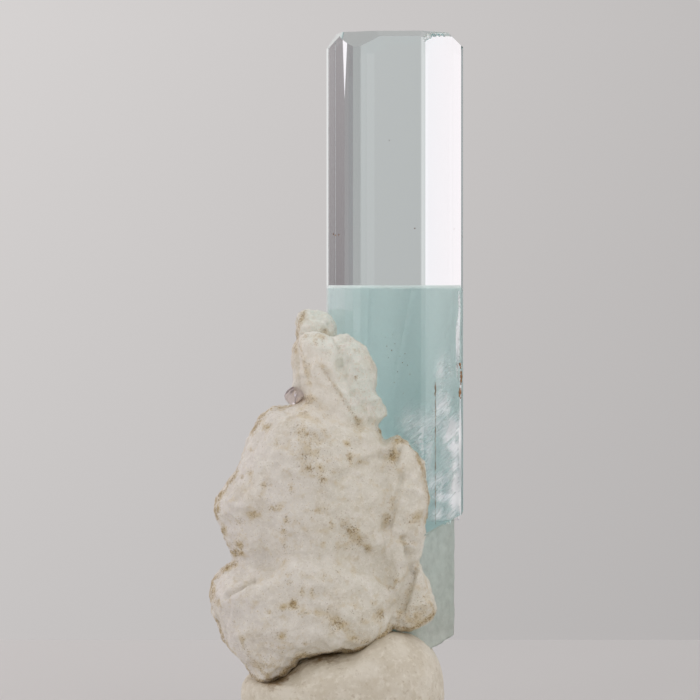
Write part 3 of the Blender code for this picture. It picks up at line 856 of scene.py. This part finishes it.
# %% Hollows, ridges and broken parts, in mm
# hollows and ridges on the front: (x, z) points along the line, half-width and height
RELIEF = [
    ([(-10.8, 26.6), (-9.4, 24.4)], 2.4, -1.1),
    ([(-7.4, 27.2), (-7.3, 24.0)], 0.9, 0.4),
    ([(-4.7, 41.5), (-4.9, 36.0), (-2.9, 32.7)], 1.3, 0.6),
    ([(-1.6, 32.2), (2.6, 34.6), (5.4, 35.6)], 0.45, -0.5),
    ([(-12.8, 18.2), (-8.4, 19.6), (-6.0, 22.0)], 1.3, 0.7),
    ([(-6.0, 20.2), (-2.0, 20.4)], 1.7, 0.5),
    ([(-11.0, 20.2), (-12.4, 19.3), (-13.8, 18.2)], 0.3, -0.8),
    ([(-11.4, 19.4), (-12.9, 17.9)], 0.8, 0.35),
    ([(-14.2, 22.8), (-9.0, 22.4)], 1.0, -0.5),
    ([(-0.2, 26.6), (2.9, 23.6)], 0.5, -0.6),
    ([(-0.2, 23.4), (4.6, 21.0)], 1.3, -0.6),
    ([(6.6, 36.0), (6.2, 34.2)], 0.35, -0.8),
    ([(6.9, 32.8), (6.2, 29.7), (5.0, 26.7)], 0.5, -0.75),
    ([(5.6, 25.6), (7.2, 25.4), (9.4, 24.2)], 0.4, -0.5),
    ([(7.0, 25.2), (7.9, 23.2), (8.4, 21.2), (7.6, 18.6), (6.9, 16.6)], 0.35, -0.6),
    ([(-10.4, 12.4), (-8.2, 11.0)], 2.2, -0.9),
    ([(-12.5, 13.6), (-12.1, 12.2), (-10.7, 10.1)], 0.6, 0.45),
    ([(-1.0, 15.5), (-0.9, 15.2)], 0.7, -0.5),
    ([(4.2, 16.4), (4.3, 16.0)], 0.6, -0.35),
    ([(-6.8, 18.4), (-6.2, 17.4)], 0.7, -0.4),
    ([(-4.9, 40.4), (-4.5, 39.9)], 0.7, -0.35),
    ([(-4.9, 35.4), (-4.4, 33.6)], 0.5, -0.35),
    ([(8.8, 22.0), (7.6, 18.6), (6.6, 14.8)], 0.4, -0.15),
    ([(7.4, 17.0), (10.4, 17.2)], 0.3, 0.3),
    ([(-2.6, 45.8), (-0.7, 42.8), (1.2, 40.0), (1.9, 38.3)], 0.5, -0.4),
    ([(-5.4, 49.4), (-2.6, 49.4)], 0.35, -0.6),
    ([(-4.4, 47.6), (-4.2, 44.6)], 0.3, -0.3),
    ([(-2.4, 49.0), (1.2, 49.4)], 0.4, -0.5),
    ([(0.4, 48.0), (2.6, 43.2)], 0.5, 0.35),
    ([(-6.4, 9.9), (-3.0, 12.6)], 0.8, -0.4),
]
LOBE_FULLNESS = 0.74
# the cleaved block broke in splinters and is glassier: the middle of that patch, its reach, and
# the height of the splinters
GLASSY_LINE = [(-3.6, 51.4), (0.0, 48.2), (1.0, 45.0), (2.8, 41.0)]
GLASSY_WIDTH, CRAG = 2.4, 0.11 * MM
print("hollows and ridges:", len(RELIEF))


# %% Pebbles
def smooth_outline(points, share):
    """Catmull-Rom: a smooth closed curve through the points, read at each share of the way
    round."""
    p = np.array(points, float)
    at = share * len(p)
    k = np.floor(at).astype(int)
    t = (at - k)[:, None]
    a, b, c, d = (p[(k + shift) % len(p)] for shift in (-1, 0, 1, 2))
    return b + 0.5 * t * (c - a + t * (2 * a - 5 * b + 4 * c - d + t * (3 * (b - c) + d - a)))


def pebble(depths, points, fullness, around=96, rows=47):
    """Rings from the front pole to the back pole: the rim shrinks as sin v to the power fullness,
    and the depth is cos v to the same power, times the bulge on that side."""
    y_mid, forwards, backwards = depths
    middle = np.mean(points, axis=0)
    rim = smooth_outline(points, np.arange(around) / around) - middle
    v = (np.arange(rows) + 1) * math.pi / (rows + 1)
    flat = middle + rim * (np.sin(v) ** fullness)[:, None, None]
    bulge = np.abs(np.cos(v)) ** fullness * np.where(np.cos(v) > 0, -forwards, backwards)
    depth = np.broadcast_to((y_mid + bulge)[:, None], (rows, around))
    rings = np.stack([flat[..., 0], depth, flat[..., 1]], axis=-1) * MM
    front = np.array([middle[0], y_mid - forwards, middle[1]]) * MM
    back = np.array([middle[0], y_mid + backwards, middle[1]]) * MM
    return ringed_body(rings, front, back)


def fuse(obj, voxel):
    """One skin round everything that overlaps, in steps of a voxel."""
    modifier = obj.modifiers.new("fuse", "REMESH")
    modifier.mode = "VOXEL"
    modifier.voxel_size = voxel
    modifier.use_smooth_shade = True
    settle(obj)


# %% [markdown]
# ## Relief
# Each hollow or ridge is a line on the front of the lump with a bell-shaped section across it. It
# fades where the surface turns away from the front, so nothing smears down the sides. The swells
# keep the knobs from looking turned on a lathe, and the finest ones are the sugary grain that
# cleaved and weathered albite has.


# %% Relief and swells
def away_from(x, z, line):
    """Distance in mm from each point to a line of (x, z) points, as seen from the front."""
    nearest = np.full(len(x), np.inf)
    for (x1, z1), (x2, z2) in zip(line, line[1:]):
        dx, dz = x2 - x1, z2 - z1
        along = (((x - x1) * dx + (z - z1) * dz) / (dx * dx + dz * dz)).clip(0, 1)
        nearest = np.minimum(nearest, np.hypot(x - x1 - along * dx, z - z1 - along * dz))
    return nearest


def near_to(x, z, line, width, power=2):
    """1 on the line and 0 away from it: exp(-(distance / width) to the power)."""
    return np.exp(-((away_from(x, z, line) / width) ** power))


def front_relief(points, normals):
    """Sum over the lines of height times nearness, on front faces; the cleaved block also gets
    folded swells."""
    x, z = points[:, 0] / MM, points[:, 2] / MM
    height = sum(rise * near_to(x, z, line, width) for line, width, rise in RELIEF)
    front = height * (-normals[:, 1] * 1.6).clip(0, 1) * MM
    splintered = near_to(x, z, GLASSY_LINE, GLASSY_WIDTH, 4)
    crag = creases(points, 1.5 * MM, 15) + 0.5 * creases(points, 0.7 * MM, 16)
    return front + CRAG * splintered * crag


def roughen(obj, swells, relief=None):
    """Moves each point along its normal by the sum of the swells and the relief."""
    points, normals = values_of(obj.data.vertices), values_of(obj.data.vertices, "normal")
    lift = sum(height * kind(points, size, seed) for kind, size, height, seed in swells)
    if relief:
        lift = lift + relief(points, normals)
    obj.data.vertices.foreach_set("co", (points + normals * lift[:, None]).ravel())
    obj.data.update()


# %% [markdown]
# ## Seats in the stone
# The crystal grew against the albite with no air between them, and that shows: where stone touches
# the back of the crystal, the clear view through it stops at a sharp line. So the lump is cut by
# the crystal's own section taken in by a few hundredths of a millimetre, which leaves the stone's
# skin just inside the beryl. At the contact line the stone lets go of the crystal and leans away
# from it, along a slightly wavy edge, up to the level top of the growth.

# %% Seats
BITE = 0.04 * MM
CONTACT, SHELF = 55.3 * MM, 55.7 * MM
# the funnel above the contact: height, and distance from the crystal's sides
RIM = [(CONTACT, -BITE), (CONTACT + 0.15 * MM, 0.06 * MM), (SHELF + 1 * MM, 1.2 * MM)]
RIM_WAVE, RIM_WAVE_SIZE = 0.1 * MM, 6 * MM


def shelve(obj):
    """Levels the growth behind the crystal: nothing of the lump stands above the shelf's height."""
    points = values_of(obj.data.vertices)
    points[:, 2] = np.minimum(points[:, 2], SHELF)
    obj.data.vertices.foreach_set("co", points.ravel())
    obj.data.update()


def seat_cutters():
    """The outer growth and the core, both taken in by the bite, and the funnel."""
    shell = shell_body(core_outline(SHELL_REACH - BITE, 1), TOP + 5 * MM, 0.0)
    core = core_body(CORE_REACH - BITE, LEDGE + 2 * MM, 0.0, per_side=1, rows=2)
    rings = [upright(core_outline(SHELL_REACH + out, 8), z) for z, out in RIM]
    rings[0][:, 2] += RIM_WAVE * swell(rings[0], RIM_WAVE_SIZE, 51)
    rim = ringed_body(np.array(rings), [*AXIS, RIM[0][0]], [*AXIS, RIM[-1][0]])
    fresh = bpy.data.materials.new("fresh")
    return [mesh_object("seat", *body, fresh) for body in (shell, core, rim)]


# %% [markdown]
# ## Albite as a material
# Fresh albite is a clean sugary white. Weathering leaves the outside cream, and iron has run into
# the pits and along the rims as chains of brown specks. The cream is painted pinker on the left,
# away from the crystal, and greener on the right: a painted tint of light and shade, not of the
# stone.
# Where the stone was covered by the beryl it is still fresh, and that is the pale ground that the
# crystal's lower half is seen against. Four attributes steer this: fresh faces, stained patches and
# lines with some painted shade among them, the greener glassy block, and a patch round the column
# painted paler as painted light.

# %% Albite finish
# painted tint of light and shade: the cream runs from pink on the left to green on the right
PINK_CREAM, GREEN_CREAM, GLASSY_GREEN = "#DDD8D2", "#DBD7CA", "#DDE2D8"
CREAM_DRIFT, DRIFT_SIZE, PINK_X, GREEN_X = 10 * MM, 7 * MM, -8 * MM, 5 * MM
FRESH_LOW, FRESH_HIGH, FRESH_FROM, FRESH_TO = "#FDFEFB", "#F5F6F3", 28 * MM, 54 * MM
# painted light: the paler cream of the patch round the column, and its greatest share
PAINTED_LIGHT_CREAM, PAINTED_LIGHT_SHARE = "#FFFAF2", 0.24
SUGAR_SIZE, SUGAR_HEIGHT = 0.5 * MM, 0.16 * MM
# colour, size of its blots in mm, where in the noise it starts and is full, most cover, mark, pull
ALBITE_LAYERS = [
    ("#CCC2AC", 4.0, 0.5, 0.68, 0.5, None, 0), ("#EAE7DF", 1.6, 0.5, 0.66, 0.7, None, 0),
    ("#C6BCAC", 0.8, 0.56, 0.7, 0.45, None, 0), ("#F1EEE6", 0.38, 0.53, 0.62, 0.6, None, 0),
    # the layers pulled in by the stain mark also paint the shade on the knob, the toe and the
    # crevice
    ("#B3A68C", 0.26, 0.59, 0.68, 0.38, None, 0), ("#C8B792", 1.3, 0.54, 0.8, 0.75, "stain_and_shade", 0.21),
    ("#AD9668", 0.38, 0.6, 0.76, 0.7, "stain_and_shade", 0.14),
    ("#80673F", 0.2, 0.62, 0.74, 0.75, "stain_and_shade", 0.13), ("#7A6A4E", 0.24, 0.69, 0.74, 0.4, None, 0),
]


def layered(tree, place, ground, layers):
    """Paints each layer over those before it, where its noise plus its mark times pull is high."""
    for colour, size, start, full, most, name, pull in layers:
        value = {"Vector": place, "Scale": 1 / (size * MM), "Detail": 5.0, "Roughness": 0.6}
        value = add(tree, "TexNoise", value, "Fac")
        if name:
            where = add(tree, "Attribute", out="Fac", attribute_name=name)
            value = {0: where, 1: pull, 2: value}
            value = add(tree, "Math", value, 0, operation="MULTIPLY_ADD")
        cover = add(tree, "MapRange", {0: value, 1: start, 2: full, 4: most}, 0)
        paint = {"Factor": cover, "A": ground, "B": colour}
        ground = add(tree, "Mix", paint, "Result", data_type="RGBA")
    return ground


def albite_finish():
    """Cleaved and weathered grains: matt, cream with blots of every size, and a fine sugary bump
    that keeps the light from lying smooth."""
    finish, tree, shader = material("sugary albite", Roughness=0.62, IOR=1.53)
    place = add(tree, "TexCoord", out="Object")
    way = add(tree, "SeparateXYZ", {0: place}).outputs
    # painted tint of light and shade: pinker to the left, greener to the right
    drift = add(tree, "TexNoise", {"Vector": place, "Scale": 1 / DRIFT_SIZE, "Detail": 3.0}, "Fac")
    drift = {0: drift, 1: CREAM_DRIFT, 2: way["X"]}
    drift = add(tree, "Math", drift, 0, operation="MULTIPLY_ADD")
    share = add(tree, "MapRange", {0: drift, 1: PINK_X, 2: GREEN_X}, 0)
    paint = {"Factor": share, "A": PINK_CREAM, "B": GREEN_CREAM}
    body = add(tree, "Mix", paint, "Result", data_type="RGBA")
    glassy = add(tree, "Attribute", out="Fac", attribute_name="glassy")
    paint = {"Factor": glassy, "A": body, "B": GLASSY_GREEN}
    body = add(tree, "Mix", paint, "Result", data_type="RGBA")
    body = layered(tree, place, body, ALBITE_LAYERS)
    # painted light: paler round the column and the top of the block
    pale = add(tree, "Attribute", out="Fac", attribute_name="pale")
    pale = add(tree, "MapRange", {0: pale, 4: PAINTED_LIGHT_SHARE}, 0)
    paint = {"Factor": pale, "A": body, "B": PAINTED_LIGHT_CREAM}
    body = add(tree, "Mix", paint, "Result", data_type="RGBA")
    height = add(tree, "MapRange", {0: way["Z"], 1: FRESH_FROM, 2: FRESH_TO}, 0)
    white = {"Factor": height, "A": FRESH_LOW, "B": FRESH_HIGH}
    white = add(tree, "Mix", white, "Result", data_type="RGBA")
    fresh = add(tree, "Attribute", out="Fac", attribute_name="fresh")
    paint = {"Factor": fresh, "A": body, "B": white}
    body = add(tree, "Mix", paint, "Result", data_type="RGBA")
    tree.links.new(body, shader.inputs["Base Color"])
    grain = {"Vector": place, "Scale": 1 / SUGAR_SIZE, "Detail": 5.0, "Roughness": 0.65}
    grain = add(tree, "TexNoise", grain, "Fac")
    bump = add(tree, "Bump", {"Height": grain, "Distance": SUGAR_HEIGHT, "Strength": 0.8}, 0)
    tree.links.new(bump, shader.inputs["Normal"])
    return finish


# %% Stains, in mm
# stained spots as (x, z, half-width, half-height, strength); the broad ones at (8.4, 15.6) and
# (9.4, 17.6) on the knob and at (-9.6, 10.0) and (-8.0, 12.4) on the toe are painted shade, where
# those parts lie in shadow
STAIN_SPOTS = [
    (-4.3, 37.0, 2.2, 2.6, 0.55), (-4.0, 34.6, 2.4, 1.6, 0.5), (8.4, 15.6, 2.2, 1.4, 0.7),
    (9.4, 17.6, 1.0, 1.8, 0.55), (-9.6, 10.0, 2.4, 1.4, 0.5), (-8.0, 12.4, 1.6, 2.0, 0.35),
    (0.8, 25.2, 1.8, 1.8, 0.45), (-13.2, 24.4, 1.2, 1.2, 0.4), (-4.8, 40.4, 0.9, 0.6, 0.8),
    (-5.0, 38.2, 1.2, 0.9, 1.0), (-4.1, 36.9, 0.6, 1.0, 0.8), (-4.7, 35.0, 0.5, 1.0, 1.0),
    (-4.3, 33.8, 0.5, 0.4, 1.3), (-2.8, 33.9, 0.4, 0.9, 0.9), (-2.7, 32.4, 0.4, 0.4, 1.3),
    (0.6, 35.0, 0.3, 0.8, 1.1), (0.3, 36.6, 0.2, 0.2, 1.2), (5.7, 35.0, 0.5, 1.0, 1.4),
    (1.6, 38.8, 0.3, 0.7, 0.7), (5.1, 27.6, 0.4, 0.6, 1.2), (5.7, 29.5, 0.3, 1.0, 0.8),
    (0.8, 26.3, 0.8, 0.6, 1.3), (1.7, 25.0, 0.5, 0.8, 0.9), (2.7, 24.0, 0.3, 0.4, 1.2),
    (-0.2, 27.0, 0.4, 0.6, 0.9), (-1.6, 27.0, 0.3, 0.4, 0.8), (-3.4, 28.7, 0.6, 0.2, 0.8),
    (-2.4, 28.8, 0.5, 0.3, 0.6), (-11.0, 28.2, 0.8, 0.4, 1.0), (-8.6, 28.9, 1.0, 0.3, 1.0),
    (-10.1, 30.5, 0.3, 0.4, 0.6), (-9.4, 31.8, 0.8, 0.2, 0.7), (-6.4, 31.5, 0.2, 0.7, 0.7),
    (-7.0, 27.6, 0.3, 0.5, 1.0), (-7.4, 26.5, 0.3, 0.8, 0.9), (-7.2, 24.8, 0.3, 1.2, 0.7),
    (-12.8, 24.4, 0.5, 0.5, 1.3), (-13.2, 23.6, 0.3, 0.4, 1.3), (-9.4, 38.7, 0.7, 0.4, 0.8),
    (-15.5, 28.8, 0.5, 0.8, 1.2), (-12.7, 27.3, 0.9, 0.3, 0.7), (-12.4, 32.6, 0.2, 0.2, 1.0),
    (-11.3, 33.1, 0.2, 0.2, 1.0), (-11.2, 35.8, 0.2, 0.2, 0.9), (8.7, 27.9, 0.8, 0.5, 0.8),
    (8.1, 27.2, 1.0, 0.2, 0.9), (7.4, 24.7, 1.0, 0.2, 0.9), (1.8, 34.5, 0.2, 0.2, 0.9),
    (-1.4, 33.3, 0.2, 0.2, 1.0), (-2.3, 39.9, 0.6, 0.2, 0.9), (-2.5, 24.8, 0.3, 0.3, 0.7),
    (-2.6, 38.4, 0.7, 0.6, 0.5), (-4.5, 41.5, 0.8, 0.3, 1.0), (-8.1, 36.7, 0.3, 0.7, 0.6),
    (-3.9, 27.8, 0.2, 0.3, 0.7), (-5.1, 19.3, 0.2, 0.8, 1.0), (-6.2, 17.6, 0.4, 0.5, 1.4),
    (-7.4, 17.2, 0.3, 0.3, 1.1), (-3.9, 19.0, 0.1, 0.5, 0.9), (-6.7, 21.1, 0.2, 0.2, 1.0),
    (-6.5, 20.2, 0.2, 0.3, 0.8), (-9.0, 16.5, 0.2, 0.2, 1.2), (-5.0, 16.5, 0.7, 0.2, 0.8),
    (-0.9, 15.1, 0.9, 0.9, 1.2), (4.2, 16.0, 0.5, 0.5, 1.3), (2.3, 15.4, 0.3, 0.3, 0.8),
    (1.1, 13.3, 0.3, 0.2, 1.0), (2.4, 12.8, 0.7, 0.2, 1.0), (-7.7, 13.7, 0.5, 0.3, 1.1),
    (-9.0, 10.1, 0.7, 0.4, 0.9), (-16.0, 18.2, 0.4, 0.9, 1.2), (-15.2, 17.5, 0.2, 0.3, 1.0),
    (5.5, 19.3, 0.5, 0.2, 0.9), (6.2, 20.2, 0.3, 0.6, 0.8), (3.4, 17.5, 0.3, 0.2, 0.6),
    (-2.5, 21.1, 0.2, 0.4, 0.7), (-0.8, 21.3, 0.3, 0.2, 0.7), (1.0, 16.8, 0.3, 0.4, 0.6),
    (-2.1, 16.8, 0.3, 0.9, 0.6), (-3.5, 16.6, 0.2, 0.3, 0.6), (-4.8, 12.7, 0.3, 0.2, 0.8),
    (-2.6, 50.0, 0.7, 0.4, 1.0), (-3.6, 48.8, 0.4, 0.4, 0.9), (1.3, 44.6, 0.3, 0.3, 0.9),
    (-1.9, 47.5, 0.3, 0.3, 0.6),
]
# stained rims and seams as (x, z) points
# painted shade: the crevice where the lump rests on the clay is painted darker along this line,
# over a brown seam
CREVICE = [
    (-9.4, 8.3), (-8.6, 8.0), (-7.9, 8.5), (-6.5, 9.7), (-5.7, 10.9), (-5.0, 11.3), (-3.8, 11.0),
    (-1.4, 11.4), (1.0, 11.6), (2.9, 12.2), (5.5, 14.2),
]
STAIN_LINES = [
    CREVICE,
    [(-5.0, 52.4), (-5.7, 50.8), (-6.0, 49.5), (-6.0, 47.7)],
    [(-4.0, 42.0), (-5.0, 42.0), (-6.3, 41.4), (-7.9, 41.0), (-9.4, 40.8), (-10.3, 39.6),
     (-11.3, 37.9)],
    [(-13.0, 34.7), (-13.4, 32.7), (-14.2, 31.7), (-15.6, 29.6), (-15.9, 28.6), (-15.6, 27.4)],
    [(-14.7, 26.2), (-14.9, 24.8), (-14.2, 23.8), (-13.2, 23.1), (-12.5, 23.4)],
    [(-13.2, 22.1), (-14.2, 21.7), (-15.3, 20.9), (-16.1, 19.7), (-16.5, 18.0), (-16.3, 16.6)],
    [(-15.6, 15.2), (-15.1, 13.5), (-14.4, 11.8), (-13.5, 10.6), (-12.5, 9.7), (-11.2, 8.4)],
    [(-11.2, 8.4), (-9.8, 7.7), (-7.7, 7.7)],
    [(-6.0, 9.8), (-4.6, 10.7), (-2.6, 11.2), (1.5, 11.5), (4.2, 12.8), (5.9, 14.4)],
    [(6.3, 37.2), (7.7, 36.9), (8.7, 35.5), (9.7, 32.8), (10.1, 30.7), (10.3, 29.0), (9.9, 27.0)],
    [(4.2, 38.1), (6.3, 36.8), (7.0, 36.8)],
    [(6.3, 14.3), (8.0, 14.0), (9.7, 15.2), (10.8, 16.0)],
]
SEAM_LINES = [
    [(-5.8, 49.0), (-4.8, 49.5), (-3.6, 49.7), (-2.6, 49.5), (-2.7, 48.8)],
    [(-5.7, 48.9), (-5.1, 47.2), (-4.7, 45.3), (-4.2, 43.8)],
    [(-4.7, 45.8), (-3.6, 46.4), (-2.6, 45.8), (-1.7, 44.1), (-0.7, 42.8), (0.2, 41.1), (1.2, 40.0),
     (1.9, 38.3)],
    [(-12.4, 13.5), (-12.1, 12.2), (-10.7, 10.1), (-9.4, 8.8)],
    [(5.9, 35.5), (5.9, 34.0)],
    [(6.9, 17.1), (9.0, 16.9), (10.3, 17.4), (10.8, 16.2)],
    [(8.8, 22.1), (7.8, 19.0), (6.9, 17.3), (6.4, 14.6)],
]
SPOT_SOFT = 0.15
RIM_WIDTH, SEAM_WIDTH = 0.40, 0.30
RIM_STRENGTH, SEAM_STRENGTH = 1.25, 0.75
# painted light: the column and the top of the block are painted paler, as they catch more light;
# the middle of that patch, and its reach
PAINTED_LIGHT_LINE = [(-3.2, 49.5), (-1.9, 46.5), (-2.0, 44.0), (-2.7, 41.5)]
PAINTED_LIGHT_WIDTH = 3.3
print("stains:", len(STAIN_SPOTS), "spots,", len(STAIN_LINES) + len(SEAM_LINES), "lines")

# %% Marks on the stone
MARKS_BACK = 6 * MM
# how far forwards a surface looks where the marks start, over what span they become full, and how
# much of them is left on the sides
FACING_FROM, FACING_SPAN, FACING_LEAST = 0.04, 0.2, 0.2


def mark_stone(obj):
    """Vertex values: stained spots, rims and seams, with some painted shade among them, the glassy
    block, and the patch of painted light round the column. Each is full where the surface faces the
    front, weak where it faces sideways and nothing at the back."""
    points, normals = values_of(obj.data.vertices), values_of(obj.data.vertices, "normal")
    x, z = points[:, 0] / MM, points[:, 2] / MM
    facing = np.clip((-normals[:, 1] - FACING_FROM) / FACING_SPAN, FACING_LEAST, 1)
    front = facing * (points[:, 1] < MARKS_BACK)
    stain_and_shade = np.zeros(len(points))
    for cx, cz, wide, high, strength in STAIN_SPOTS:
        near = np.hypot((x - cx) / (wide + SPOT_SOFT), (z - cz) / (high + SPOT_SOFT))
        stain_and_shade = np.maximum(stain_and_shade, strength * np.exp(-(near ** 2)))
    kinds = ((STAIN_LINES, RIM_WIDTH, RIM_STRENGTH), (SEAM_LINES, SEAM_WIDTH, SEAM_STRENGTH))
    for lines, width, strength in kinds:
        for line in lines:
            stain_and_shade = np.maximum(stain_and_shade, strength * near_to(x, z, line, width))
    # stained spots and rims, with painted shade on the knob, the toe and the crevice
    set_mark(obj, "stain_and_shade", stain_and_shade * front)
    set_mark(obj, "glassy", near_to(x, z, GLASSY_LINE, GLASSY_WIDTH, 4) * front)
    # painted light: the paler patch round the column
    set_mark(obj, "pale", near_to(x, z, PAINTED_LIGHT_LINE, PAINTED_LIGHT_WIDTH, 4) * front)


# %% The lump
LUMP_VOXEL = 0.24 * MM
# kind, size of its bumps, height, seed
LUMP_SWELLS = [
    (swell, 7 * MM, 0.22 * MM, 3), (creases, 3.4 * MM, 0.13 * MM, 4),
    (swell, 3 * MM, 0.1 * MM, 8), (creases, 1.5 * MM, 0.06 * MM, 12),
    (swell, 0.8 * MM, 0.045 * MM, 13),
]


def make_lump():
    """The lobes fused, roughened, levelled and seated. Faces that the seat cutters leave carry the
    cutters' material, and get a fresh value of 1."""
    bodies = [pebble(depths, points, LOBE_FULLNESS) for depths, points in LOBES.values()]
    made = mesh_object("albite_lump", *joined(bodies), bpy.data.materials.new("weathered"))
    fuse(made, LUMP_VOXEL)
    roughen(made, LUMP_SWELLS, front_relief)
    shelve(made)
    for cutter in seat_cutters():
        boolean(made, "DIFFERENCE", cutter)
    fresh = values_of(made.data.polygons, "material_index", 1, int) > 0
    set_mark(made, "fresh", fresh, domain="FACE")
    mark_stone(made)
    finish_with(made, albite_finish())
    return made


lump = make_lump()
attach(lump, "root")
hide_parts("albite_matrix")
print("albite faces:", len(lump.data.polygons))

# %% [markdown]
# ## The smoky bead
# One bead of smoky quartz is stuck in the notch at the left. It is clear, so what shows is the bent
# and upside-down view through it with a dark rim, over a faint mauve-grey tint in its depth.

# %% Smoky bead
BEAD_CENTRE = np.array([-6.2, -5.0, 42.3]) * MM
BEAD_SIZE = np.array([1.12, 1.0, 1.02]) * MM
BEAD_DENT, BEAD_DENT_SIZE = 0.07, 1.1 * MM
SMOKE, SMOKE_DENSITY = (0.60, 0.48, 0.58, 1.0), 260.0


def bead_finish():
    """Quartz bends light a little less than beryl; its smoke is absorption in the volume."""
    finish, tree, _ = material("smoky quartz", IOR=1.544, Roughness=0.04,
                               Transmission_Weight=1.0, Base_Color="#FFFFFF")
    volume = add(tree, "VolumeAbsorption", {"Color": SMOKE, "Density": SMOKE_DENSITY}, 0)
    tree.links.new(volume, tree.nodes["Material Output"].inputs["Volume"])
    return finish


def make_bead():
    """An ellipsoid whose distance from its centre swells by up to a share of itself."""
    points, faces = ellipsoids(BEAD_CENTRE[None], BEAD_SIZE[None], 40, 23)
    dent = BEAD_DENT * swell(points, BEAD_DENT_SIZE, 41)
    points = points + (points - BEAD_CENTRE) * dent[:, None]
    return mesh_object("smoky_bead", points, faces, bead_finish())


bead = make_bead()
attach(bead, "root")
print("bead faces:", len(bead.data.polygons))

# %% [markdown]
# ## The clay foot
# The foot is a ball of putty-like mounting clay, pressed down by thumb. It is one more pebble, cut
# flat where it stands, duller and smoother than the stone. The crevice where the lump rests on it
# is painted dark brown, a brown seam with painted shade over it, and the same seats are cut in it
# for the crystal's lower end.

# %% Clay foot, in mm
FOOT_DEPTHS = (1.0, 12.0, 12.0)
FOOT_OUTLINE = [
    (12.1, 7.0), (11.7, 9.2), (10.6, 11.2), (9.2, 12.8), (7.6, 13.7), (5.7, 14.0), (4.0, 13.4),
    (2.1, 12.2), (-0.6, 11.6), (-3.3, 11.2), (-5.5, 10.4), (-7.3, 9.0), (-9.2, 8.0), (-10.9, 7.9),
    (-12.0, 7.8), (-12.6, 6.8), (-12.7, 5.1), (-12.3, 2.4), (-10.9, -0.5), (-5.5, -2.2),
    (-0.2, -2.4), (5.0, -2.2), (10.4, -0.5), (11.6, 2.4), (12.1, 4.9),
]
FOOT_FULLNESS = 0.7
CLAY_VOXEL = 0.4 * MM
CLAY_SWELLS = [(swell, 9 * MM, 0.18 * MM, 7), (creases, 2.6 * MM, 0.05 * MM, 14)]
# painted shade with a brown seam in the crevice: its reach in mm, and how many crevice points it
# follows
CREVICE_SHADE_WIDTH, CREVICE_SHADE_POINTS = 0.8, 8  # the dirt lies in the crevice's left part only

# %% Clay finish
CLAY_GROUND = "#D3CBBA"
KNEAD_SIZE, KNEAD_HEIGHT = 0.7 * MM, 0.12 * MM
# colour, size of its blots in mm, where in the noise it starts and is full, most cover, mark, pull
CLAY_LAYERS = [
    ("#E2DCCE", 3.0, 0.42, 0.62, 0.85, None, 0), ("#CBC0A8", 1.3, 0.52, 0.72, 0.45, None, 0),
    ("#EDE8DC", 0.6, 0.52, 0.68, 0.5, None, 0), ("#B3A587", 0.45, 0.58, 0.76, 0.5, None, 0),
    # the dark brown last layer is painted shade in the crevice, over a brown seam
    ("#857A62", 0.34, 0.7, 0.76, 0.6, None, 0), ("#8A7048", 0.8, 0.6, 0.9, 0.9, "dirt_and_shade", 0.55),
]


def clay_finish():
    """Kneaded putty: matt, beige, with soft blots and the shallow dimples that fingers leave."""
    finish, tree, shader = material("mounting clay", Roughness=0.7)
    place = add(tree, "TexCoord", out="Object")
    body = layered(tree, place, CLAY_GROUND, CLAY_LAYERS)
    tree.links.new(body, shader.inputs["Base Color"])
    grain = {"Vector": place, "Scale": 1 / KNEAD_SIZE, "Detail": 4.0, "Roughness": 0.6}
    grain = add(tree, "TexNoise", grain, "Fac")
    bump = add(tree, "Bump", {"Height": grain, "Distance": KNEAD_HEIGHT, "Strength": 0.6}, 0)
    tree.links.new(bump, shader.inputs["Normal"])
    return finish


def make_foot():
    """A pebble, roughened, cut flat at the table and seated, with a brown seam and painted shade
    near the crevice.
    """
    made = mesh_object("clay_pad", *pebble(FOOT_DEPTHS, FOOT_OUTLINE, FOOT_FULLNESS))
    fuse(made, CLAY_VOXEL)
    roughen(made, CLAY_SWELLS)
    slice_by(made, [((0, 0, 0), (0, 0, -1))])
    for cutter in seat_cutters():
        boolean(made, "DIFFERENCE", cutter)
    finish_with(made, clay_finish())
    x, _, z = values_of(made.data.vertices).T
    # painted shade, with a brown seam, along the crevice's left part
    set_mark(made, "dirt_and_shade", near_to(x / MM, z / MM, CREVICE[:CREVICE_SHADE_POINTS], CREVICE_SHADE_WIDTH))
    return made


foot = make_foot()
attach(foot, "root")
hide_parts("clay_foot")
print("clay faces:", len(foot.data.polygons))
